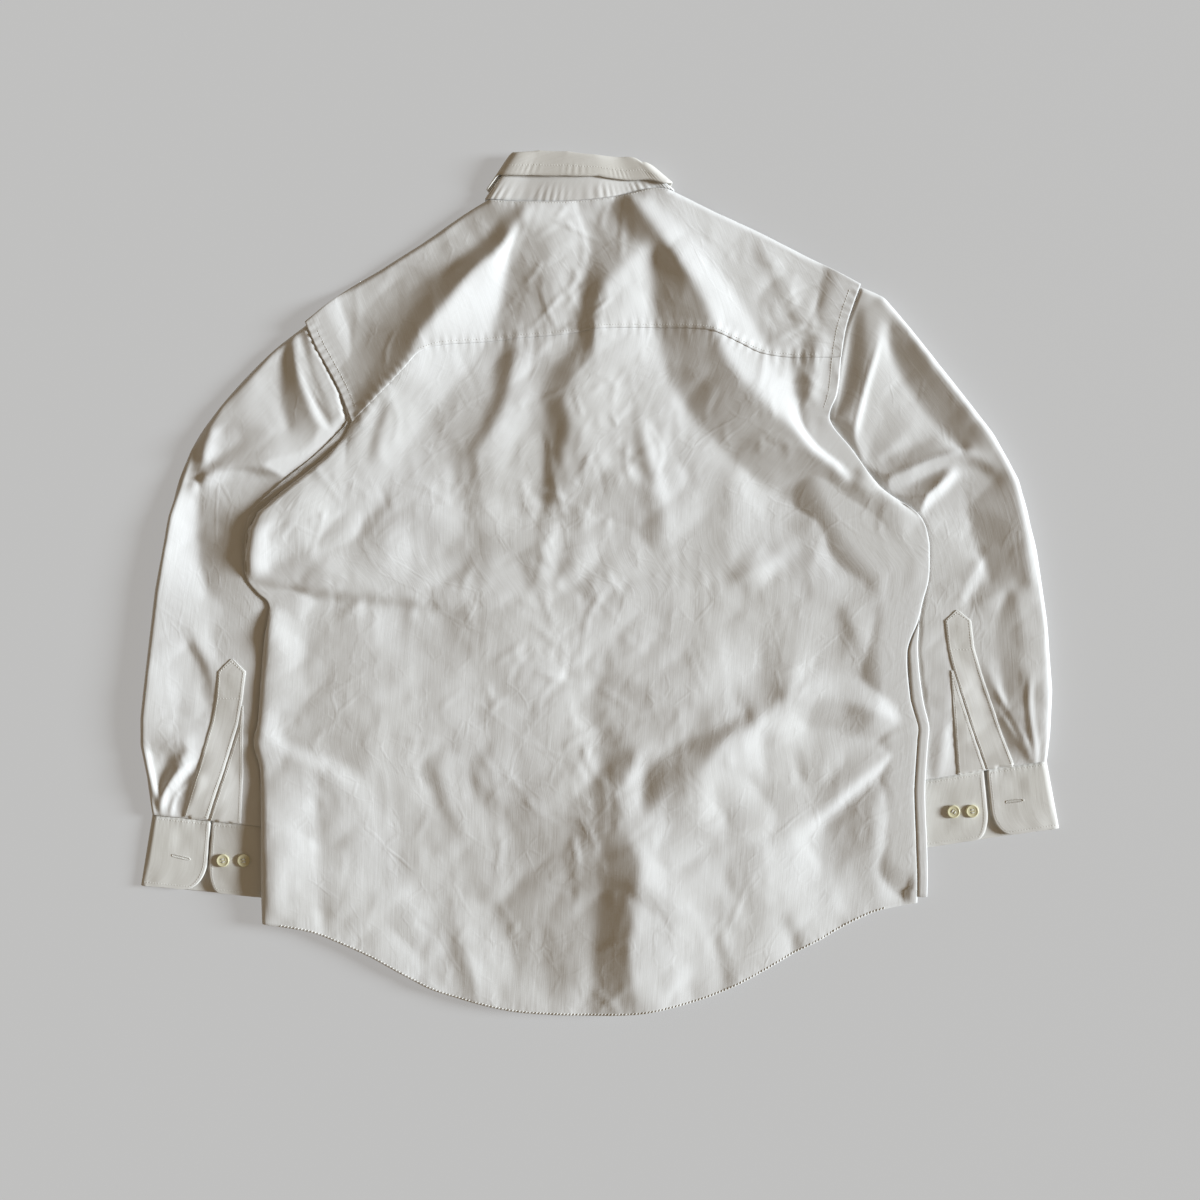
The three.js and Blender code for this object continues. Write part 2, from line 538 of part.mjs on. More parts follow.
/* A cuff left open: from the free buttonhole end round below to the free button end. */
const CUFF_TOP = BAND / 2 + 2 * CUFF_TURN; // middle of its upper walls
function cuffBand(cuff) {
  const ROUND_FROM = 0.58; // where the ends begin to round off
  const rows = [0, 0.2, 0.4, ROUND_FROM, 0.72, 0.84, 0.93, 1];
  const INSET = 0.03; // share of the width that the folded edges take
  const grid = rows.map((down) => {
    const corner = 1 - Math.sqrt(1 - clamp((down - ROUND_FROM) / (1 - ROUND_FROM)) ** 2);
    const overlap = cuff.overlapEnd - cuff.overlapRound * corner;
    const underlap = cuff.underlapEnd + cuff.underlapRound * corner;
    const place = (share, z) => {
      const outer = new THREE.Vector2(cuff.seamOuter.x, cuff.seamOuter.y);
      outer.lerp(new THREE.Vector2(cuff.hemOuter.x, cuff.hemOuter.y), down);
      const inner = new THREE.Vector2(cuff.seamInner.x, cuff.seamInner.y);
      inner.lerp(new THREE.Vector2(cuff.hemInner.x, cuff.hemInner.y), down);
      outer.lerp(inner, share);
      return new THREE.Vector3(outer.x, outer.y, z);
    };
    return [
      ...steps(5).map((share) => place(mix(overlap, INSET, share), CUFF_TOP)),
      place(0, BAND / 2 + CUFF_TURN),
      ...steps(6).map((share) => place(mix(INSET, 1 - INSET, share), BAND / 2)),
      place(1, BAND / 2 + CUFF_TURN),
      ...steps(5).map((share) => place(mix(1 - INSET, underlap, share), CUFF_TOP)),
    ];
  });
  return wall(grid, BAND);
}

/* A strip sewn on a sleeve, between its left and right edges, just above the sleeve's wall. */
function sleeveStrip(sleeve, rows) {
  const grid = rows.flatMap((row, index) => {
    const next = rows[index + 1];
    const shares = next ? steps(2).slice(0, -1) : [0];
    return shares.map((share) => steps(3).map((across) => {
      const from = next ?? row;
      const y = mix(row.y, from.y, share);
      const x = mix(mix(row.left, from.left, share), mix(row.right, from.right, share), across);
      return new THREE.Vector3(x, y, sleeveHeight(sleeve, x, y) + CLOTH + STRIP_GAP);
    }));
  });
  return wall(grid, CLOTH);
}

/* A sewn-through button with a raised rim, its underside at height 0. */
function button() {
  const { radius, thick, segments } = BUTTON;
  const profile = [[0, 0], [0.86, 0], [1, 0.5], [0.86, 1], [0.66, 0.76], [0, 0.76]];
  const points = profile.map(([out, up]) => new THREE.Vector2(out * radius, up * thick));
  const geometry = new THREE.LatheGeometry(points, segments);
  geometry.rotateX(Math.PI / 2);
  return geometry;
}

for (const sleeve of SLEEVES) {
  add(`${sleeve.name}_sleeve`, sleeveTube(sleeve));
  add(`${sleeve.name}_cuff`, cuffBand(sleeve.cuff));
  add(`${sleeve.name}_placket`, sleeveStrip(sleeve, sleeve.placket));
  add(`${sleeve.name}_underlap`, sleeveStrip(sleeve, sleeve.underlap));
  sleeve.buttons.forEach((place, index) => {
    add(`${sleeve.name}_cuff_button_${index + 1}`, button(), shell,
      { ...place, z: CUFF_TOP + BAND / 2 + SEAM });
  });
}

// ---------------------------------------------------------------- collar
const backRow = (row) => ({ x: row.x, y: row.y + 3 * SEAM, z: backHeight(row.x, row.y) + 0.4 });
const ringRows = [...NECK.map(backRow), ...FRONT_NECK];
const ringPoints = ringRows.map((row) => new THREE.Vector3(row.x, row.y, row.z));
const ringCurve = new THREE.CatmullRomCurve3(ringPoints, true, "centripetal");
const RING_COLUMNS = 2 * ringRows.length;
const MIDDLE_COLUMN = 2 * (NECK.length + FRONT_NECK.indexOf(FRONT_MIDDLE));

/* A point of the stand: round its ring by columns, and up from the neck. */
function standPoint(place, height) {
  const point = ringCurve.getPoint((place / RING_COLUMNS + 1) % 1);
  point.y += height * (1 - COLLAR_TILT * (point.x - CENTRE));
  point.x = mix(point.x, CENTRE, (COLLAR_TAPER * height) / COLLAR_HEIGHT);
  return point;
}

/* The direction outward from the stand. */
function standNormal(place, height) {
  const round = standPoint(place + 0.4, height).sub(standPoint(place - 0.4, height));
  const up = standPoint(place, height + 1).sub(standPoint(place, height - 1));
  return round.cross(up).normalize();
}

const ringColumns = steps(RING_COLUMNS).slice(0, -1).map((share) => share * RING_COLUMNS);
add("collar_stand", wall(
  steps(4).map((up) => ringColumns.map((place) => standPoint(place, up * COLLAR_HEIGHT))),
  BAND, true), warmCotton);

const OPENING = 0.45; // of a column, on both sides of the middle of the front
const SIDE_ROUND = 1.7; // how much further out the fall runs where it turns at the sides
const fallColumns = [
  MIDDLE_COLUMN + OPENING, ...ringColumns.slice(1).map((place) => MIDDLE_COLUMN + place),
  MIDDLE_COLUMN + RING_COLUMNS - OPENING,
];
add("collar_fall", wall(
  FALL.map((row, index) => fallColumns.map((place) => {
    const normal = standNormal(place, 0);
    const backness = smooth((normal.z - 0.2) / 0.6);
    const fromMiddle = Math.min(place - MIDDLE_COLUMN, MIDDLE_COLUMN + RING_COLUMNS - place);
    const reach = COLLAR_POINT * (1 - smooth(fromMiddle / 6)) * (index / (FALL.length - 1)) ** 4;
    const height = mix(row.frontHeight, row.backHeight, backness) - reach;
    const out = mix(row.frontOut, row.backOut, backness) * (1 + SIDE_ROUND * (1 - normal.z ** 2));
    return standPoint(place, height).addScaledVector(standNormal(place, height), out);
  })),
  FALL_WALL), warmCotton);

// ---------------------------------------------------------------- front and collar buttons
for (let number = 1; number <= FRONT_BUTTONS.count; number += 1) {
  const y = FRONT_BUTTONS.top - (number - 1) * FRONT_BUTTONS.spacing;
  add(`front_button_${number}`, button(), shell, { x: CENTRE, y, z: 0 });
}
add("collar_button", button(), shell, { x: FRONT_MIDDLE.x, y: FRONT_MIDDLE.y + COLLAR_HEIGHT / 2, z: 0 });

export default shirt;
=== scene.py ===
# A long-sleeved button-up shirt of white cotton poplin, laid on its front with its back up and its
# sleeves down beside the body. Sizes are in millimetres and become metres when a mesh is made.
import math
import bmesh
import bpy
import numpy as np
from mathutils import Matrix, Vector
from mathutils.bvhtree import BVHTree


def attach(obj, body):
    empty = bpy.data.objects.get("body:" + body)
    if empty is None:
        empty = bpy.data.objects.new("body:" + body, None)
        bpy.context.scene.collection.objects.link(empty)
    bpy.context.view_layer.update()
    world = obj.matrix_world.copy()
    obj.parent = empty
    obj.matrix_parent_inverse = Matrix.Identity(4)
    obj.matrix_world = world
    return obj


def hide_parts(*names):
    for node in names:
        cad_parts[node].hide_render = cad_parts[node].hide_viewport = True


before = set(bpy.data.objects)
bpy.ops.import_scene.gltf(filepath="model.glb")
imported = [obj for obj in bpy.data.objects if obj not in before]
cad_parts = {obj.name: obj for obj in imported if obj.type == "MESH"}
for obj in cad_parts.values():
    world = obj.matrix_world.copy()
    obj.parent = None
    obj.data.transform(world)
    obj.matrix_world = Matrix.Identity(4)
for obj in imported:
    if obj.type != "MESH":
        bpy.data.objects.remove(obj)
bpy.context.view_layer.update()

# ------------------------------------------------------------------------------------ cotton poplin
# The cloth is a plain weave of fine white cotton, its warp a little coarser than its weft, pressed
# and worn soft. It creases sharply, and the threads show as faint lines along each piece.
MM = 0.001  # in metres
CLOTH = 0.7  # thickness of one layer


def feed(tree, socket, value):
    """Sets a socket, or links another socket to it."""
    if isinstance(value, bpy.types.NodeSocket):
        tree.links.new(value, socket)
    else:
        socket.default_value = value


def node(tree, kind, sockets=(), **settings):
    """A node of a tree with its settings, and with its sockets set to values or linked to others."""
    made = tree.nodes.new(kind)
    for name, value in settings.items():
        setattr(made, name, value)
    for name, value in dict(sockets).items():
        feed(tree, made.inputs[name], value)
    return made


def new_group(name, kind, inputs, outputs):
    """A node group with these sockets: its tree, the sockets that it is given, and its last node."""
    tree = bpy.data.node_groups.new(name, kind)
    for in_out, sockets in (("INPUT", inputs), ("OUTPUT", outputs)):
        for label, socket in sockets.items():
            tree.interface.new_socket(label, in_out=in_out, socket_type="NodeSocket" + socket)
    return tree, tree.nodes.new("NodeGroupInput").outputs, tree.nodes.new("NodeGroupOutput")


def maths(tree, operation, *values):
    """The result of a sum on values and sockets."""
    return node(tree, "ShaderNodeMath", enumerate(values), operation=operation).outputs[0]


def stretched_noise(tree, vector, scale, detail):
    """Noise whose grain is as fine as scale says along each axis, in cycles per metre."""
    stretch = node(tree, "ShaderNodeVectorMath", {0: vector, 1: scale}, operation="MULTIPLY")
    noise = node(tree, "ShaderNodeTexNoise",
                 {"Vector": stretch.outputs[0], "Scale": 1.0, "Detail": detail})
    return noise.outputs[0]


# Threads and fine creases, as one height in millimetres, and the cloth's uneven tone from 0 to 1.
poplin, given, gives = new_group(
    "poplin", "ShaderNodeTree", {"Along": "Vector", "Thread": "Float", "Crease": "Float"},
    {"Height": "Float", "Tone": "Float"})
warp = stretched_noise(poplin, given["Along"], (1400, 60, 1), 2)
weft = stretched_noise(poplin, given["Along"], (90, 1500, 1), 1)
streak = stretched_noise(poplin, given["Along"], (360, 14, 1), 2)
threads = maths(poplin, "MULTIPLY_ADD", weft, 0.4, warp)
threads = maths(poplin, "MULTIPLY_ADD", streak, 1.3, threads)
bender = node(poplin, "ShaderNodeTexNoise", {"Vector": given["Along"], "Scale": 22, "Detail": 3})
bent = node(poplin, "ShaderNodeVectorMath",
            {0: bender.outputs[1], 1: (0.009, 0.009, 0), 2: given["Along"]}, operation="MULTIPLY_ADD")
creases = stretched_noise(poplin, given["Along"], (30, 22, 1), 3)
creases = maths(poplin, "MULTIPLY", creases, 0.45)
for size, width, depth in ((15, 0.06, 0.08), (31, 0.1, 0.11), (66, 0.16, 0.08)):
    cells = node(poplin, "ShaderNodeTexVoronoi", {"Vector": bent.outputs[0], "Scale": size},
                 feature="DISTANCE_TO_EDGE")
    line = node(poplin, "ShaderNodeMapRange",
                {"Value": cells.outputs[0], "From Max": width, "To Min": depth, "To Max": 0},
                interpolation_type="SMOOTHERSTEP")
    where = stretched_noise(poplin, given["Along"], (size * 0.55, size * 0.4, 1 + size), 2)
    shown = node(poplin, "ShaderNodeMapRange", {"Value": where, "From Min": 0.46, "From Max": 0.68})
    creases = maths(poplin, "MULTIPLY_ADD", line.outputs[0], shown.outputs[0], creases)
height = maths(poplin, "MULTIPLY", threads, given["Thread"])
height = maths(poplin, "MULTIPLY_ADD", creases, given["Crease"], height)
blotch = stretched_noise(poplin, given["Along"], (9, 7, 1), 3)
tone = maths(poplin, "MULTIPLY_ADD", streak, 0.25, blotch)
poplin.links.new(height, gives.inputs["Height"])
poplin.links.new(tone, gives.inputs["Tone"])


def two_toned(name, light, dark, rough):
    """A material of two tones, with its tree, its surface, its mix of tones and its relief."""
    material = bpy.data.materials.new(name)
    material.use_nodes = True
    tree = material.node_tree
    surface = tree.nodes["Principled BSDF"]
    surface.inputs["Roughness"].default_value = rough
    mix = node(tree, "ShaderNodeMix", {6: (*dark, 1), 7: (*light, 1)}, data_type="RGBA")
    relief = node(tree, "ShaderNodeBump")
    tree.links.new(mix.outputs[2], surface.inputs["Base Color"])
    tree.links.new(relief.outputs[0], surface.inputs["Normal"])
    return material, tree, surface, mix, relief


def cloth_finish(name, light, dark, crease):
    """A material of this cotton: its colours, and how deep its creases are in millimetres."""
    material, tree, surface, mix, relief = two_toned(name, light, dark, 0.75)
    along = node(tree, "ShaderNodeUVMap", uv_map="cloth")
    weave = node(tree, "ShaderNodeGroup",
                 {"Along": along.outputs[0], "Thread": 0.06, "Crease": crease}, node_tree=poplin)
    tone = node(tree, "ShaderNodeMapRange",
                {"Value": weave.outputs["Tone"], "From Min": 0.45, "From Max": 0.95})
    feed(tree, mix.inputs[0], tone.outputs[0])
    feed(tree, relief.inputs["Height"], weave.outputs["Height"])
    relief.inputs["Distance"].default_value = MM
    relief.inputs["Strength"].default_value = 1.0
    surface.inputs["Specular IOR Level"].default_value = 0.2
    surface.inputs["Sheen Weight"].default_value = 0.07
    surface.inputs["Sheen Roughness"].default_value = 0.4
    return material


white_cotton = cloth_finish("white_cotton", (0.81, 0.81, 0.81), (0.765, 0.76, 0.745), 0.9)


# ------------------------------------------------------------------------------------------ sleeves
# Each sleeve is one long piece of poplin sewn into a tube and set into the armhole. It lies flat,
# with a soft fold down its outer side, and the body lies over its inner side.
def smooth_through(points, closed=False, steps=12):
    """Points close together on the smooth line through a row of points."""
    points = np.array(points, float)
    if closed:
        row = np.vstack([points[-1:], points, points[:2]])
    else:
        row = np.vstack([2 * points[0] - points[1], points, 2 * points[-1] - points[-2]])
    share = np.linspace(0, 1, steps, endpoint=False)[:, None]
    parts = []
    for a, b, c, d in zip(row, row[1:], row[2:], row[3:]):
        u, v, w = (max(np.linalg.norm(step), 1e-6) ** 0.5 for step in (b - a, c - b, d - c))
        leave = v * ((b - a) / u - (c - a) / (u + v) + (c - b) / v)
        reach = v * ((c - b) / v - (d - b) / (v + w) + (d - c) / w)
        parts.append(b + leave * share + (3 * (c - b) - 2 * leave - reach) * share ** 2
                     + (2 * (b - c) + leave + reach) * share ** 3)
    return np.vstack(parts if closed else [*parts, points[-1:]])


def edge(*tables):
    """The smooth line through the tables' points, as a function of the share of its length."""
    rows = [row for table in tables for row in table]
    rows = [row for k, row in enumerate(rows) if k == 0 or tuple(row) != tuple(rows[k - 1])]
    points = smooth_through(rows, steps=24)
    far = np.concatenate([[0], np.cumsum(np.linalg.norm(np.diff(points, axis=0), axis=1))])
    return lambda share: np.stack(
        [np.interp(np.clip(share, 0, 1) * far[-1], far, side) for side in points.T], axis=-1)


def spread(start, end, side_a, side_b, across, along):
    """A grid of points spread between four edges: start and end run across, the sides along."""
    u, v = np.meshgrid(across, along)
    u, v = u[..., None], v[..., None]
    first, last = start(across)[None], end(across)[None]
    left, right = side_a(along)[:, None], side_b(along)[:, None]
    point = first * (1 - v) + last * v + left * (1 - u) + right * u
    (a, b), (c, d) = start(np.array([0, 1])), end(np.array([0, 1]))
    return point - a * (1 - u) * (1 - v) - b * u * (1 - v) - c * (1 - u) * v - d * u * v


def smooth(value):
    """An even passage from 0 to 1, level at both ends."""
    value = np.clip(value, 0, 1)
    return value * value * (3 - 2 * value)


def rounded(value):
    """A quarter round from 0 to 1, steep at first."""
    return np.sqrt(1 - (1 - np.clip(value, 0, 1)) ** 2)


def beside(path, x, y):
    """How far points lie to the left of a path, how far along it, and how long it is."""
    best, side, travelled = np.full(x.shape, 1e9), np.ones(x.shape), np.zeros(x.shape)
    length = 0.0
    for (ax, ay), (bx, by) in zip(path, path[1:]):
        dx, dy = bx - ax, by - ay
        size = math.hypot(dx, dy)
        share = np.clip(((x - ax) * dx + (y - ay) * dy) / size ** 2, 0, 1)
        away = np.hypot(x - ax - share * dx, y - ay - share * dy)
        near = away < best - 1e-9
        best = np.where(near, away, best)
        side = np.where(near, np.where(dx * (y - ay) - dy * (x - ax) >= 0, 1, -1), side)
        travelled = np.where(near, length + share * size, travelled)
        length += size
    return best * side, travelled, length


def folds(rows, x, y, sharp=1.0):
    """The height that folds give. A row is a fold's rise, its reach to the left and the right of
    its path as it runs, and the path. Folds taper off over their ends."""
    height = np.zeros(x.shape)
    for rise, left, right, path in rows:
        line = smooth_through(path, steps=5)
        reach = max(left, right)
        near = ((x > line[:, 0].min() - reach) & (x < line[:, 0].max() + reach)
                & (y > line[:, 1].min() - reach) & (y < line[:, 1].max() + reach))
        away, travelled, length = beside(line, x[near], y[near])
        share = travelled / length
        ends = smooth(share / 0.25) * smooth((1 - share) / 0.25)
        height[near] += rise * ends * (1 - smooth(np.abs(away) / np.where(away > 0, left, right))) ** sharp
    return height


def four_around(net):
    """The sum of the four heights around each knot of a net."""
    wider = np.pad(net, 1, mode="edge")
    return wider[:-2, 1:-1] + wider[2:, 1:-1] + wider[1:-1, :-2] + wider[1:-1, 2:]


def blended(net, row, column, down, across):
    """Heights between a net's knots, from the knot before each point and the shares past it."""
    before = net[row, column] * (1 - down) + net[row + 1, column] * down
    after = net[row, column + 1] * (1 - down) + net[row + 1, column + 1] * down
    return before * (1 - across) + after * across


def between(creases, x, y, soften):
    """Heights of cloth drawn straight between its creases, from a coarse net to a fine one."""
    low_x, low_y, wide, tall = -456, -430, 912, 864
    finest = 2.0
    height = np.full((3, 3), 3.0)
    for size in (48, 24, 12, 6, finest):
        rows, columns = int(tall / size) + 1, int(wide / size) + 1
        r = np.linspace(0, height.shape[0] - 1, rows)
        c = np.linspace(0, height.shape[1] - 1, columns)
        part = np.array([np.interp(c, np.arange(height.shape[1]), row) for row in height])
        height = np.array([np.interp(r, np.arange(part.shape[0]), row) for row in part.T]).T
        total, count = np.zeros(height.shape), np.zeros(height.shape)
        for crease in creases:
            points = smooth_through(crease, steps=max(2, int(60 / size)))
            spot_r = np.rint((points[:, 1] - low_y) / size).astype(int)
            spot_c = np.rint((points[:, 0] - low_x) / size).astype(int)
            np.add.at(total, (spot_r, spot_c), points[:, 2])
            np.add.at(count, (spot_r, spot_c), 1)
        held = count > 0
        fixed = total[held] / count[held]
        for _ in range(60 if size > finest else 40):
            height[held] = fixed
            height = four_around(height) / 4
        height[held] = fixed
    for _ in range(soften):
        height = height / 2 + four_around(height) / 8
    r, c = (y - low_y) / finest, (x - low_x) / finest
    row, column = np.clip(r.astype(int), 0, rows - 2), np.clip(c.astype(int), 0, columns - 2)
    return blended(height, row, column, r - row, c - column)


def crumple(x, y, rows, seed):
    """The uneven facets of cloth that has been worn. A row is their size and their height."""
    height = np.zeros(x.shape)
    for k, (size, rise) in enumerate(rows):
        turn = 0.5 + 0.9 * k
        u = (x * math.cos(turn) + y * math.sin(turn)) / size + 40
        v = (y * math.cos(turn) - x * math.sin(turn)) / (size * 1.3) + 40
        net = np.random.default_rng(seed + k).uniform(-1, 1, (90, 90))
        row, column = np.floor(u).astype(int), np.floor(v).astype(int)
        wave = blended(net, row, column, smooth(u - row), smooth(v - column))
        height += rise * (1.4 * np.sqrt(wave ** 2 + 0.008) - 0.5) * (-1) ** k
    return height


UNDERSIDE_SHIFT = 0.37  # of the weave, so that its two sides differ


def placed(name, data):
    """An object in the scene with this mesh, lamp or camera."""
    made = bpy.data.objects.new(name, data)
    bpy.context.scene.collection.objects.link(made)
    return made


def sheet(name, grid, thick, material, ring=False):
    """A wall of cloth: its grid of middle points gets a thickness and round edges."""
    rows, columns = grid.shape[:2]
    across = (np.roll(grid, -1, 1) - np.roll(grid, 1, 1)) if ring else np.gradient(grid, axis=1)
    normal = np.cross(across, np.gradient(grid, axis=0))
    normal /= np.linalg.norm(normal, axis=-1, keepdims=True)
    top, low = grid + normal * thick / 2, grid - normal * thick / 2
    number = np.arange(rows * columns).reshape(rows, columns)
    if ring:
        number = np.hstack([number, number[:, :1]])
    quads = np.stack([number[:-1, :-1], number[:-1, 1:], number[1:, 1:], number[1:, :-1]], -1).reshape(-1, 4)
    count = rows * columns
    faces = [quads, quads[:, ::-1] + count]
    points = [top.reshape(-1, 3), low.reshape(-1, 3)]
    flat = grid.reshape(-1, 3)
    if ring:
        loops = [(number[0, :-1][::-1], number[1, :-1][::-1]), (number[-1, :-1], number[-2, :-1])]
    else:
        loop = np.concatenate([number[0, :-1], number[:-1, -1], number[-1, :0:-1], number[:0:-1, 0]])
        inside = np.concatenate([number[1, :-1], number[:-1, -2], number[-2, :0:-1], number[:0:-1, 1]])
        loops = [(loop[::-1], inside[::-1])]
    total = 2 * count
    for loop, inside in loops:
        out = flat[loop] - flat[inside]
        out /= np.maximum(np.linalg.norm(out, axis=1, keepdims=True), 1e-9)
        points.append(flat[loop] + out * thick / 2)
        middle = total + np.arange(len(loop))
        following, after = np.roll(loop, -1), np.roll(middle, -1)
        faces.append(np.stack([loop, following, after, middle], -1))
        faces.append(np.stack([middle, after, following + count, loop + count], -1))
        total += len(loop)
    points = np.vstack(points)
    points[:, 2] = np.maximum(points[:, 2], 0)
    faces = np.vstack(faces)
    mesh = bpy.data.meshes.new(name)
    mesh.vertices.add(len(points))
    mesh.vertices.foreach_set("co", (points * MM).ravel())
    mesh.loops.add(faces.size)
    mesh.loops.foreach_set("vertex_index", faces.ravel())
    mesh.polygons.add(len(faces))
    mesh.polygons.foreach_set("loop_start", np.arange(0, faces.size, 4))
    mesh.polygons.foreach_set("use_smooth", np.ones(len(faces), bool))
    mesh.update(calc_edges=True)
    # the cloth's own coordinates: metres across and along it, measured on the cloth
    level = grid * (1, 1, 0.1)
    u = np.cumsum(np.linalg.norm(np.diff(level, axis=1, prepend=level[:, :1]), axis=-1), 1)
    v = np.cumsum(np.linalg.norm(np.diff(level, axis=0, prepend=level[:1]), axis=-1), 0)
    flat_uv = np.stack([u, v.mean(1, keepdims=True) + 0 * u], -1).reshape(-1, 2) * MM
    whole = np.vstack([flat_uv, flat_uv + UNDERSIDE_SHIFT, *(flat_uv[loop] for loop, _ in loops)])
    mesh.uv_layers.new(name="cloth").data.foreach_set("uv", whole[faces.ravel()].ravel())
    mesh.materials.append(material)
    return placed(name, mesh)


def sewn(piece, nodes):
    """What every piece of cloth is: part of the shirt, in place of its solids."""
    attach(piece, "root")
    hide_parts(*nodes)


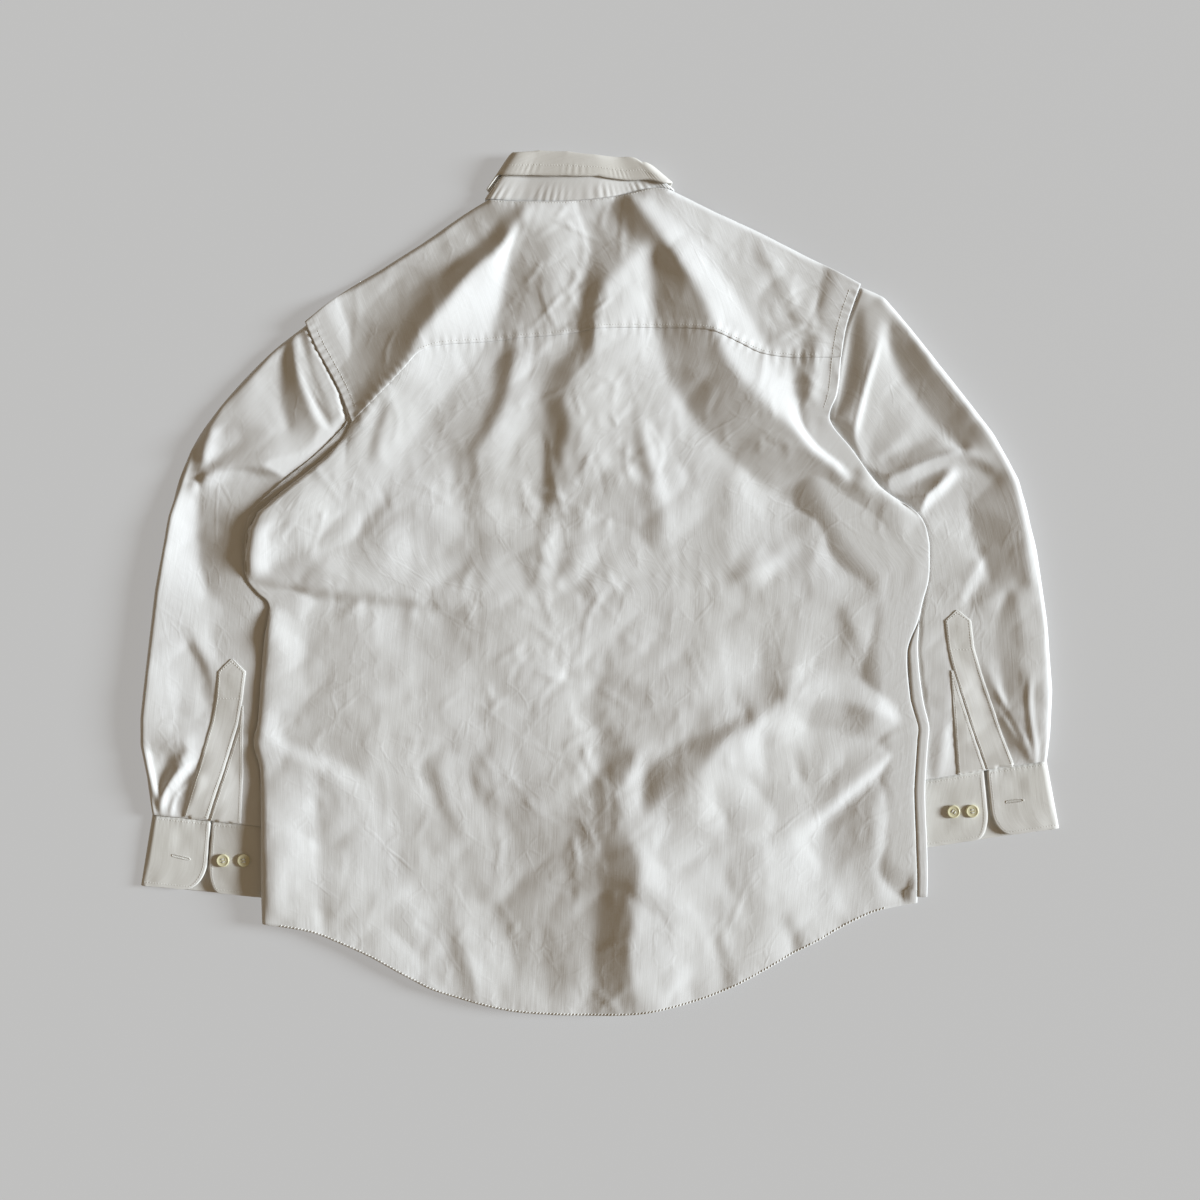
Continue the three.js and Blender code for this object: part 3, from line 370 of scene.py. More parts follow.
# The sleeves' outlines: the armhole runs from the shoulder to the underarm, the outer and the inner
# edge from the armhole to the cuff.
sleeves = {
    "left": dict(
        outward=1,
        seam=7.2,
        roll=(8.5, 4.0),
        armhole=[(-280, 251), (-267, 224), (-247, 183), (-235, 155), (-240, 110), (-262, 62)],
        outer=[(-280, 251), (-317, 222), (-365, 171), (-394, 128), (-415, 65), (-428, -7),
               (-437, -84), (-442, -130), (-442, -156), (-436, -185), (-431, -222.4)],
        inner=[(-262, 62), (-297, 30), (-309, -20), (-312, -64), (-316, -140), (-316, -178),
               (-314, -235.4)],
        cuff=[(-431, -223), (-314, -236), (-442, -291), (-314, -304)],
        narrow=[(1.0, 5, 3, [(-290, 234), (-285, 212), (-275, 184), (-262, 160)]),
                (-1.0, 4, 4, [(-400, 96), (-378, 106), (-352, 108), (-318, 107)]),
                (1.5, 5, 5, [(-437, -150), (-433, -178), (-427, -200), (-423, -226)]),
                (1.5, 4, 5, [(-384, -168), (-405, -182), (-417, -198), (-424, -226)]),
                (1.1, 4, 4, [(-392, -190), (-408, -205), (-414, -228)])],
        creases=[
            # the outer roll, and the broad slope inside it
            [(-282, 246, 5), (-322, 212, 4), (-368, 160, 4), (-396, 120, 5), (-412, 78, 7.5), (-419, 30, 8.5),
             (-425, -30, 8.5), (-430, -80, 8.5), (-434, -130, 8), (-434, -154, 8)],
            [(-385, 100, 2), (-388, 70, 1), (-387, 40, 0.5), (-384, 12, 0.8), (-378, -12, 2)],
            [(-405, -90, 5), (-404, -115, 4.5), (-408, -140, 5)],
            [(-338, 88, 4), (-344, 60, 4.5), (-345, 30, 4.5), (-340, 0, 4.5), (-330, -30, 5)],
            # down from the armhole: two narrow folds and the hollow beside them
            [(-301, 236, 3), (-304, 205, 2.5), (-306, 175, 3), (-300, 150, 4)],
            [(-294, 240, 6), (-292, 215, 8), (-283, 185, 8.5), (-272, 158, 8.5), (-260, 138, 8)],
            [(-287, 236, 4.5), (-285, 212, 5), (-275, 182, 5), (-266, 160, 5), (-255, 142, 5)],
            [(-282, 236, 6), (-277, 212, 6.8), (-266, 182, 7), (-257, 160, 6.8), (-250, 146, 6)],
            [(-270, 222, 6.2), (-260, 202, 6.4), (-249, 180, 6.4), (-242, 162, 6)],
            [(-330, 200, 5), (-345, 178, 4.5), (-355, 160, 4.5), (-362, 147, 5)],
            # the elbow: the upper part hangs over the lower one
            [(-374, 145, 8.5), (-379, 130, 9.5), (-381, 117, 9.5)],
            [(-385, 140, 4), (-392, 120, 3.5), (-397, 98, 3.5)],
            [(-378, 114, 5.5), (-362, 125, 5.5), (-340, 137, 6), (-315, 147, 7)],
            [(-392, 92, 6), (-374, 104, 9), (-352, 112, 9.5), (-325, 112, 10), (-300, 110, 10)],
            [(-388, 84, 3), (-370, 95, 3), (-350, 102, 3), (-325, 103, 3), (-303, 101, 3)],
            # the forearm
            [(-398, -34, 6), (-388, -56, 6.5), (-376, -80, 6), (-370, -98, 5)],
            [(-396, -60, 4.5), (-384, -82, 4), (-378, -108, 4)],
            [(-375, -26, 4), (-374, -50, 4), (-366, -70, 4)],
            [(-330, -60, 5), (-330, -110, 5), (-330, -150, 5), (-328, -200, 4)],
            [(-436, -158, 7), (-420, -154, 8), (-396, -152, 8)],
            [(-434, -164, 4.5), (-418, -162, 5), (-400, -162, 6)],
            [(-437, -162, 6), (-431, -185, 6.5), (-424, -205, 6), (-421, -220, 5)],
            [(-395, -158, 8), (-405, -180, 8), (-417, -200, 7.5), (-422, -212, 6)],
            [(-414, -168, 4), (-417, -180, 3.5), (-423, -198, 4)],
            [(-384, -166, 4), (-396, -188, 3.5), (-414, -212, 3)],
            [(-384, -186, 7), (-392, -204, 6.5), (-399, -220, 5)],
            [(-390, -196, 4.5), (-400, -215, 3.5), (-404, -222, 3)],
            [(-428, -205, 3), (-425, -220, 2.5)],
        ]),
    "right": dict(
        outward=-1,
        seam=5.8,
        roll=(6.5, 6.5),
        armhole=[(247, 287), (240, 268), (233, 246), (228, 218), (224, 182), (218, 150), (228, 100),
                 (252, 52)],
        outer=[(247, 287), (273, 275), (293, 252), (341, 192), (379, 143), (403, 99), (420, 32),
               (430, -36), (435, -103), (433, -145), (430, -170.6)],
        inner=[(252, 52), (284, 14), (290, -36), (286, -64), (290, -112), (297, -145),
               (297, -191.4)],
        cuff=[(430, -171.2), (297, -192), (442, -236), (297, -257)],
        narrow=[(1.3, 6, 3.5, [(270, 244), (264, 222), (256, 196), (249, 170), (243, 145), (240, 132)]),
                (1.0, 4, 5, [(262, 97), (292, 108), (320, 120), (345, 126), (364, 121)]),
                (0.9, 4, 3.5, [(304, 74), (320, 90), (334, 103)]),
                (1.1, 5, 4, [(375, -93), (395, -130), (413, -163), (421, -180)]),
                (0.9, 4, 4, [(383, -122), (400, -148), (412, -167), (420, -180)]),
                (1.3, 6, 4, [(412, -82), (411, -120), (417, -160), (420, -185)])],
        creases=[
            # the outer roll: a plateau, steep on its inner side
            [(262, 272, 6), (290, 250, 9), (318, 214, 11), (342, 184, 11), (364, 156, 11), (382, 130, 11),
             (396, 104, 10), (404, 70, 10), (410, 30, 10), (414, 0, 9)],
            [(276, 232, 4), (290, 200, 3), (308, 172, 3), (330, 146, 3.5), (348, 128, 5)],
            # down from the shoulder: a sharp fold with a bright foot, and the hollow beside the seam
            [(243, 262, 5), (240, 235, 4), (238, 212, 3.5), (231, 182, 3.5), (223, 162, 4)],
            [(254, 262, 7), (254, 235, 7.5), (253, 212, 7.5), (245, 182, 7.5), (232, 160, 7)],
            [(268, 248, 8), (261, 225, 8.5), (253, 200, 8.5), (246, 175, 8.5), (241, 150, 8), (238, 135, 7)],
            [(278, 246, 6), (272, 222, 6), (264, 195, 6), (257, 168, 5.5), (251, 145, 5)],
            [(278, 170, 4.5), (262, 140, 4.5), (256, 118, 4)],
            [(300, 152, 5), (282, 132, 5.5), (266, 118, 5)],
            # the elbow: two ridges with a hollow between them
            [(262, 116, 4.5), (290, 128, 4), (318, 138, 4)],
            [(262, 98, 7), (290, 107, 8.5), (318, 118, 10), (342, 124, 10.5), (362, 121, 10),
             (380, 108, 8.5)],
            [(270, 86, 4.5), (296, 94, 4.5), (318, 105, 5), (338, 112, 5.5), (355, 113, 5.5),
             (370, 107, 5.5), (380, 98, 6)],
            [(303, 74, 9), (318, 88, 9.5), (331, 100, 10), (337, 105, 9.5)],
            [(310, 68, 4), (326, 82, 3.5), (342, 97, 4), (352, 95, 4)],
            [(350, 84, 3), (356, 60, 2.5), (363, 32, 2.5), (374, 4, 3.5)],
            [(318, 60, 5), (320, 20, 5), (318, -20, 5)],
            [(366, 22, 5.5), (356, 6, 6), (346, -14, 6)],
            [(372, 12, 4), (362, -4, 4), (352, -20, 4)],
            # the forearm
            [(402, 0, 6), (382, -10, 6), (366, -20, 6)],
            [(390, -10, 5), (381, -40, 5), (384, -85, 5), (391, -120, 4.5), (402, -150, 4)],
            [(400, -12, 7.5), (404, -35, 8), (406, -60, 8), (406, -92, 8), (411, -115, 7.5), (414, -150, 7)],
            [(424, -20, 8), (428, -60, 8.5), (428, -100, 8.5), (426, -140, 8)],
            [(366, -70, 5), (376, -92, 6), (396, -126, 7), (414, -160, 6.5)],
            [(362, -86, 4), (380, -118, 5), (398, -146, 5.5), (412, -168, 5)],
            [(366, -100, 3), (378, -128, 3.5), (392, -156, 3)],
            [(330, -60, 5), (334, -110, 5), (330, -150, 5), (324, -185, 4)],
            [(338, -140, 3), (340, -180, 2.5)],
            [(312, -150, 3), (316, -185, 3)],
        ]),
}
# The body's sides from the hem to the armhole, and the armholes up to the shoulder.
sides = {
    "left": dict(
        back=[(-324, -327), (-325, -285), (-325, -208), (-326, -178), (-332, -153), (-328, -132),
              (-323, -64), (-318, -20), (-329, -9), (-339, 5), (-340, 27), (-337, 51), (-328, 68),
              (-307, 86), (-288, 101), (-264, 120), (-245, 141), (-238, 156)],
        front=[(-320, -327), (-322, -285), (-322, -208), (-323, -178), (-329, -153), (-325, -132),
               (-320, -64), (-316, -20), (-326, -9), (-338, 5), (-341, 27), (-340, 51), (-335, 68),
               (-318, 86), (-301, 101), (-277, 120), (-255, 141), (-243, 156)],
        armhole=[(-238, 156), (-250, 185), (-261, 206), (-272, 226), (-283, 251)]),
    "right": dict(
        back=[(305.5, -308), (303.5, -256), (301.5, -199), (304.5, -151), (305.5, -139), (298, -112),
              (295, -64), (305, -36), (310, -16), (315, 3), (316, 27), (315, 43), (307, 64),
              (269, 92), (242, 128), (220, 158)],
        front=[(314, -308), (313, -256), (311, -199), (314, -151), (315, -139), (309, -112),
               (304, -64), (306, -36), (309, -16), (313, 3), (314, 27), (313, 43), (305, 64),
               (267, 92), (240, 128), (219, 158)],
        armhole=[(220, 158), (227, 182), (231, 218), (236, 246), (243, 268), (250, 287)]),
}
UNDER_WALL = 0.6  # middle of the lower wall of what lies on the floor
FOLDED_EDGE = 2.0  # middle of a sleeve's folded edges
UPPER_WALL = 3.4  # lowest middle of a sleeve's upper wall
BELOW_BODY = 8.0  # highest middle of a sleeve's upper wall under the body


def outside_body(side, x, y):
    """How far outside the body's edge points lie."""
    away = [beside(sides[side][face] + sides[side]["armhole"][1:], x, y)[0] for face in ("back", "front")]
    return np.minimum(away[0] * sleeves[side]["outward"], away[1] * sleeves[side]["outward"])


def sleeve_height(side, x, y):
    """Middle of the sleeve's upper wall, clear of the body and of its own outer fold."""
    sleeve = sleeves[side]
    outside = outside_body(side, x, y)
    clear = smooth((outside + 14) / 13)
    from_fold = np.abs(beside(sleeve["outer"], x, y)[0])
    rim = [[(px, py, np.interp(py, [60, 140], sleeve["roll"])) for px, py in sleeve["outer"]],
           [(px, py, 3) for px, py in sleeve["cuff"][:2]],
           [(px, py, sleeve["seam"]) for px, py in sides[side]["armhole"]]]
    rise = np.maximum(1.15 * between(sleeve["creases"] + rim, x, y, 6), 0)
    rise = np.maximum(rise + crumple(x, y, ((70, 1.2), (38, 0.8), (19, 0.35)), 200), 0.4)
    rise = np.maximum(rise + folds(sleeve["narrow"], x, y), 0.4)
    level = UPPER_WALL + rise * clear * rounded(from_fold / 4.5)
    sewn_on = 2.4 * smooth(outside / 2.5) * smooth((y - 152) / 12)
    return np.minimum(level, BELOW_BODY + sewn_on + 0.3 * np.maximum(outside, 0))


sleeve_pieces = {}
for side, sleeve in sleeves.items():
    upper = np.concatenate([[0.006, 0.014, 0.024, 0.036, 0.05], np.linspace(0.065, 0.94, 66),
                            [0.96, 0.98, 0.992]])
    lower = np.linspace(0.975, 0.025, 12)
    along = np.linspace(0, 1, 190)
    outline = (edge(sleeve["armhole"]), edge([sleeve["outer"][-1], sleeve["inner"][-1]]),
               edge(sleeve["outer"]), edge(sleeve["inner"]))
    face = spread(*outline, upper, along)
    x, y = face[..., 0], face[..., 1]
    z = sleeve_height(side, x, y)
    top = np.dstack([x, y, z])
    rim = [spread(*outline, np.array([share]), along) for share in (1, 0)]
    rim = [np.dstack([part, FOLDED_EDGE + 0 * part[..., :1]]) for part in rim]
    under = spread(*outline, lower, along)
    under = np.dstack([under, UNDER_WALL + 0 * under[..., :1]])
    grid = np.hstack([top, rim[0], under, rim[1]])
    piece = sheet(f"{side}_sleeve_cloth", grid, CLOTH, white_cotton, ring=True)
    sewn(piece, [f"{side}_sleeve"])
    sleeve_pieces[side] = piece


# -------------------------------------------------------------------------------------------- cuffs
# A cuff is a band of two cloths with an interlining, sewn on the sleeve's gathered end and left
# open: the free end with the buttonhole lies beside the rounded end with two buttons.
BAND = 1.3  # thickness
CUFF_TURN = 1.7  # radius of its turn at each side
CORNER, CORNER_PART = 0.58, 0.42  # shares of its height down to the round corner, and of the corner
cuff_ends = {  # the places of the two free ends, as shares of the width, and how they round off
    "left": dict(overlap=0.475, underlap=0.495, overlap_round=0.17, underlap_round=0.1),
    "right": dict(overlap=0.43, underlap=0.46, overlap_round=0.14, underlap_round=0.09),
}
CUFF_TOP = BAND / 2 + 2 * CUFF_TURN
cuff_cotton = cloth_finish("cuff_cotton", (0.81, 0.80, 0.78), (0.75, 0.74, 0.70), 0.5)


def soft_noise(shape, grain, seed):
    """Even random numbers from -1 to 1, smoothed to a grain of so many grid steps."""
    rng = np.random.default_rng(seed)
    coarse = rng.uniform(-1, 1, (int(shape[0] / grain) + 3, int(shape[1] / grain) + 3))
    r, c = np.arange(shape[0]) / grain, np.arange(shape[1]) / grain
    row, column = r.astype(int)[:, None], c.astype(int)[None]
    return blended(coarse, row, column, smooth(r[:, None] - row), smooth(c[None] - column))


def cuff_corner(down):
    """How far the free ends' corner is rounded off, at shares of the cuff's height."""
    return 1 - np.sqrt(1 - np.clip((down - CORNER) / CORNER_PART, 0, 1) ** 2)


cuff_pieces = {}
for side, ends in cuff_ends.items():
    seam_outer, seam_inner, hem_outer, hem_inner = (np.array(p) for p in sleeves[side]["cuff"])
    straight = np.linspace(0, CORNER, 16, endpoint=False)
    bow = CORNER + CORNER_PART * np.sin(np.linspace(0, math.pi / 2, 15))
    down = np.concatenate([straight, bow])[:, None]
    corner = cuff_corner(down)
    over = ends["overlap"] - ends["overlap_round"] * corner
    under = ends["underlap"] + ends["underlap_round"] * corner
    t = np.linspace(0, 1, 34)[None]
    turn = np.linspace(0, math.pi, 7)[None, 1:-1]
    shares = np.hstack([
        over + (0.03 - over) * t, 0.03 - 0.03 * np.sin(turn) + 0 * down,
        0.03 + 0.94 * np.linspace(0, 1, 30)[None] + 0 * down,
        0.97 + 0.03 * np.sin(turn) + 0 * down, 0.97 + (under - 0.97) * t])
    level = np.hstack([
        CUFF_TOP + 0 * t, BAND / 2 + CUFF_TURN * (1 + np.cos(turn)), np.full((1, 30), BAND / 2),
        BAND / 2 + CUFF_TURN * (1 - np.cos(turn)), CUFF_TOP + 0 * t]) + 0 * down
    outer = seam_outer + (hem_outer - seam_outer) * down
    inner = seam_inner + (hem_inner - seam_inner) * down
    place = outer[:, None] + (inner - outer)[:, None] * shares[..., None]
    lift = np.where(level > CUFF_TOP - 0.01, 1.0, 0.0)
    uneven = 0.5 * (1 + soft_noise(level.shape, 8, 31))
    gathers = 0.35 * np.exp(-(down / 0.09) ** 2) * (1 + np.cos(shares * 150)) / 2 * smooth((1 - down) / 0.3)
    grid = np.dstack([place, level + lift * (uneven + gathers)])
    piece = sheet(f"{side}_cuff_cloth", grid, BAND, cuff_cotton)
    sewn(piece, [f"{side}_cuff"])
    cuff_pieces[side] = piece


# ---------------------------------------------------------------------------------- sleeve plackets
# The slit of each sleeve is bound by a pointed strip that is sewn down all round, with a row of
# stitches across it below its point, and by a narrow plain strip on the other side.
STRIP = 0.5  # thickness


def dropped(points, pieces, rise=0.1):
    """Points let down on the pieces below them, and kept rise above."""
    graph = bpy.context.evaluated_depsgraph_get()
    trees = [BVHTree.FromObject(piece, graph) for piece in pieces]
    flat = np.asarray(points, float).reshape(-1, np.shape(points)[-1])
    heights = []
    for row in flat:
        start = Vector((row[0] * MM, row[1] * MM, 0.2))
        found = [hit[0].z for tree in trees if (hit := tree.ray_cast(start, Vector((0, 0, -1))))[0]]
        heights.append(max(found, default=0) * 1000 + rise)
    return np.dstack([flat[:, 0], flat[:, 1], heights])[0].reshape(*np.shape(points)[:-1], 3)


# A row is the height down the sleeve and the strip's left and right edge there, from its point down.
strips = {
    "left_placket": dict(cut=(0.028, 0.150), area=0.0038, rows=[
        (-73, -354, -352.5), (-85, -367, -340), (-109, -369, -343), (-133, -373, -347),
        (-179, -386, -361), (-229, -402, -378)]),
    "left_underlap": dict(cut=(0.031, 0.108), area=0.0016, rows=[
        (-118, -344, -342.5), (-140, -347.5, -343), (-182, -360.5, -343), (-231, -377, -345.5)]),
    "right_placket": dict(cut=(0.028, 0.148), area=0.0037, rows=[
        (-26, 342.4, 343.6), (-36, 331, 356), (-62, 334, 359), (-83, 339, 365), (-139, 357, 384),
        (-178.5, 371, 399)]),
    "right_underlap": dict(cut=(0.027, 0.096), area=0.0014, rows=[
        (-84, 337, 338.8), (-117, 339, 349.2), (-150, 341.5, 360.4), (-184, 344, 372)]),
}
strip_pieces = {}
for name, strip in strips.items():
    side = name.split("_")[0]
    rows = np.array(strip["rows"])
    stations = np.concatenate([np.linspace(rows[0, 0], rows[1, 0], 8, endpoint=False),
                               np.linspace(rows[1, 0], rows[-1, 0], 64)])
    left = np.interp(-stations, -rows[:, 0], rows[:, 1])
    right = np.interp(-stations, -rows[:, 0], rows[:, 2])
    share = np.linspace(0, 1, 15)
    x = left[:, None] + (right - left)[:, None] * share
    y = stations[:, None] + 0 * x
    grid = dropped(np.dstack([x, y]), [sleeve_pieces[side]], 0.35)
    grid[..., 2] = np.minimum(grid[..., 2], sleeve_height(side, x, y) + 2.1)
    ripple = 0.1 * np.cos(y / 3.1 + 4 * soft_noise(x.shape, 6, 41)) * (np.abs(share - 0.5) * 2) ** 4
    grid[..., 2] += ripple + 0.15 * soft_noise(x.shape, 9, 42)
    piece = sheet(f"{name}_cloth", grid, STRIP, cuff_cotton)
    sewn(piece, [name])
    strip_pieces[name] = piece


# ------------------------------------------------------------------------------------------- fronts
# Both fronts lie on the floor under the back: the left one carries the button band, and the right
# one laps over it. They rise over the sleeves, the buttons and the points of the collar.
CENTRE = -15  # of the button band, across the shirt
HALF_BAND = 17
OVER_SLEEVE, OVER_BUTTONS, OVER_COLLAR, OVER_BAND = 8.6, 2.8, 2.6, 1.8  # rises of the fronts
HEM_RISE = 12  # the fronts' tails are shorter than the back's
WRAP = 0.8  # radius of the right front's turn round the side
hem = [(-324, -327), (-278, -335), (-250, -346), (-221, -359), (-192, -375), (-163, -390),
       (-125, -402), (-86, -411), (-45, -414.5), (0, -415), (38, -413), (70, -407), (96, -400),
       (125, -389), (154, -374), (182, -358), (211, -343), (240, -327), (269, -315), (305.5, -308)]
left_shoulder = [(-283, 251), (-245, 281), (-211, 302), (-173, 326), (-139, 349), (-108, 368)]
right_shoulder = [(69, 377), (96, 364), (134, 347), (173, 328), (211, 308), (250, 287)]
neck = [(-108, 368), (-77, 366), (-38, 366), (0, 369), (29, 374), (52, 379), (69, 377)]


def over_sleeve(side, x, y):
    """How much of its lift the body has over a sleeve: all of it above it, none further inside."""
    sleeve = sleeves[side]
    line = [sleeve["cuff"][3], *sleeve["inner"][::-1], *sleeve["armhole"][::-1][1:]]
    on_sleeve = beside(line, x, y)[0] * sleeve["outward"]
    below = sleeve["cuff"][3][1] - y
    return smooth((on_sleeve + 64) / 48) * (1 - smooth((below - 16) / 52))


def by_collar(x, y):
    """From 1 within the collar's round to 0 outside it."""
    return 1 - smooth((np.hypot((x - CENTRE) / 1.25, y - 325) - 88) / 26)


def front_height(x, y):
    """Middle of the fronts: on the floor, but raised over what lies under them."""
    buttons = 1 - smooth((np.abs(x - CENTRE) - HALF_BAND - 1) / 24)
    lifts = [OVER_SLEEVE * over_sleeve("left", x, y), OVER_SLEEVE * over_sleeve("right", x, y),
             OVER_BUTTONS * buttons, OVER_COLLAR * by_collar(x, y)]
    return UNDER_WALL + np.maximum.reduce(lifts)


def overlap_height(x):
    """What the right front's edge adds where it lies on the button band."""
    return OVER_BAND * (1 - smooth((np.abs(x - CENTRE) - HALF_BAND - 4) / 14))


def finer(shares, count):
    """More stations, spaced as the given ones are."""
    return np.interp(np.linspace(0, len(shares) - 1, count), np.arange(len(shares)), shares)


def joined(*parts):
    """Edges joined end to end, each with the share of the whole at which it stops."""
    def place(share):
        share = np.asarray(share, float)
        found = np.zeros((*share.shape, 2))
        begin = 0.0
        for line, stop in parts:
            inside = (share >= begin - 1e-9) & (share <= stop + 1e-9)
            found[inside] = line((share[inside] - begin) / (stop - begin))
            begin = stop
        return found
    return place


def puckers(path, x, y, rise, pitch, reach, seed):
    """The small ripples that a sewn seam draws into the cloth on both its sides."""
    away, travelled, length = beside(smooth_through(path, steps=4), x, y)
    rng = np.random.default_rng(seed)
    knots = np.arange(0, length + 60, 23.0)
    shift = np.interp(travelled, knots, rng.uniform(-2.2, 2.2, len(knots)))
    depth = np.interp(travelled, knots, rng.uniform(0.1, 1.3, len(knots)))
    wave = 0.5 + 0.5 * np.cos(2 * math.pi * travelled / pitch + shift)
    return rise * depth * wave * np.exp(-(away / reach) ** 2)


front_hem = [(x, y + HEM_RISE) for x, y in hem]
band_left = CENTRE - HALF_BAND
lowest = min(y for x, y in front_hem)
left_neck = [(band_left - 0.4, 297), (-72, 306), (-96, 326), (-111, 358)]
left_middle = (left_neck[0][0], lowest)
along = np.linspace(0, 1, 133)
left_face = spread(
    edge([(-320, -315), *[p for p in front_hem if -320 < p[0] < band_left - 3], left_middle]),
    edge([(x + 2, y - 4) for x, y in left_shoulder[:-1]] + [left_neck[-1]]),
    edge([(-320, -315), *sides["left"]["front"][1:], *sides["left"]["armhole"][1:-1], (-281, 247)]),
    joined((edge([left_middle, left_neck[0]]), 18 / 22), (edge(left_neck), 1)),
    finer([0, 0.04, 0.08, 0.12, 0.18, 0.34, 0.6, 0.8, 0.9, 0.96, 1], 81), along)
x, y = left_face[..., 0], left_face[..., 1]
ripple = puckers(sides["left"]["front"], x, y, 0.9, 8.0, 7, 51) * smooth((y - 20) / 40)
left_front = sheet("left_front_cloth", np.dstack([x, y, front_height(x, y) + ripple]), CLOTH, white_cotton)
sewn(left_front, ["left_front"])

right_neck = [(band_left + 3, 288), (34, 304), (64, 340), (74, 369)]
right_middle = (right_neck[0][0], lowest)
right_face = spread(
    edge([right_middle, *[p for p in front_hem if CENTRE + HALF_BAND < p[0] < 300], (314, -302)]),
    edge([right_neck[-1], *[(x - 1, y - 5) for x, y in right_shoulder[1:-1]], (248, 283)]),
    joined((edge([right_middle, right_neck[0]]), 18 / 22), (edge(right_neck), 1)),
    edge([(314, -302), *sides["right"]["front"][1:], *sides["right"]["armhole"][1:-1], (248, 283)]),
    finer([0, 0.1, 0.145, 0.22, 0.42, 0.66, 0.82, 0.88, 0.92, 0.96, 1], 81), along)
x, y = right_face[..., 0], right_face[..., 1]
right_grid = np.dstack([x, y, front_height(x, y) + overlap_height(x)])
# The right front wraps up round the side to the seam, which lies a little inside on the back.
rim_x, rim_y, rim_z = np.moveaxis(right_grid[:, -1], -1, 0)
seam_x = np.interp(rim_y, *zip(*[(sy, sx) for sx, sy in sides["right"]["back"][:9]]))
turned = smooth((-34 - rim_y) / 16)
wrap = []
for turn, share in [*((turn, 0) for turn in range(30, 181, 30)), (180, 0.3), (180, 0.6), (180, 1)]:
    a = math.radians(turn)
    out = WRAP * math.sin(a) * turned + 0.06 * (len(wrap) + 1) * (1 - turned)
    wrap.append(np.stack([rim_x + out - (rim_x - seam_x - 0.6) * share * turned, rim_y,
                          rim_z + 0.02 * turn / 180 + WRAP * (1 - math.cos(a)) * turned], -1))
right_grid = np.concatenate([right_grid, np.stack(wrap, 1)], 1)
right_front = sheet("right_front_cloth", right_grid, CLOTH, white_cotton)
sewn(right_front, ["right_front"])

band = np.meshgrid(np.linspace(band_left, CENTRE + HALF_BAND, 13), np.linspace(-396, 278, 120))
front_band = sheet("front_placket_cloth", np.dstack([*band, front_height(*band)]), CLOTH, cuff_cotton)
sewn(front_band, ["front_placket"])


# --------------------------------------------------------------------------------------------- back
# The back is one wide panel below the yoke seam, with a narrow rolled hem. It lies crumpled over
# the fronts: long folds run down from the yoke, and short ones across the waist and to the hem.
yoke_seam = [(-238, 156), (-208, 185), (-187, 206), (-172, 222), (-154, 228), (-115, 232),
             (-77, 236), (-38, 239), (-5, 244), (38, 246), (86, 245), (108, 242), (134, 231),
             (154, 222), (182, 218), (231, 218)]
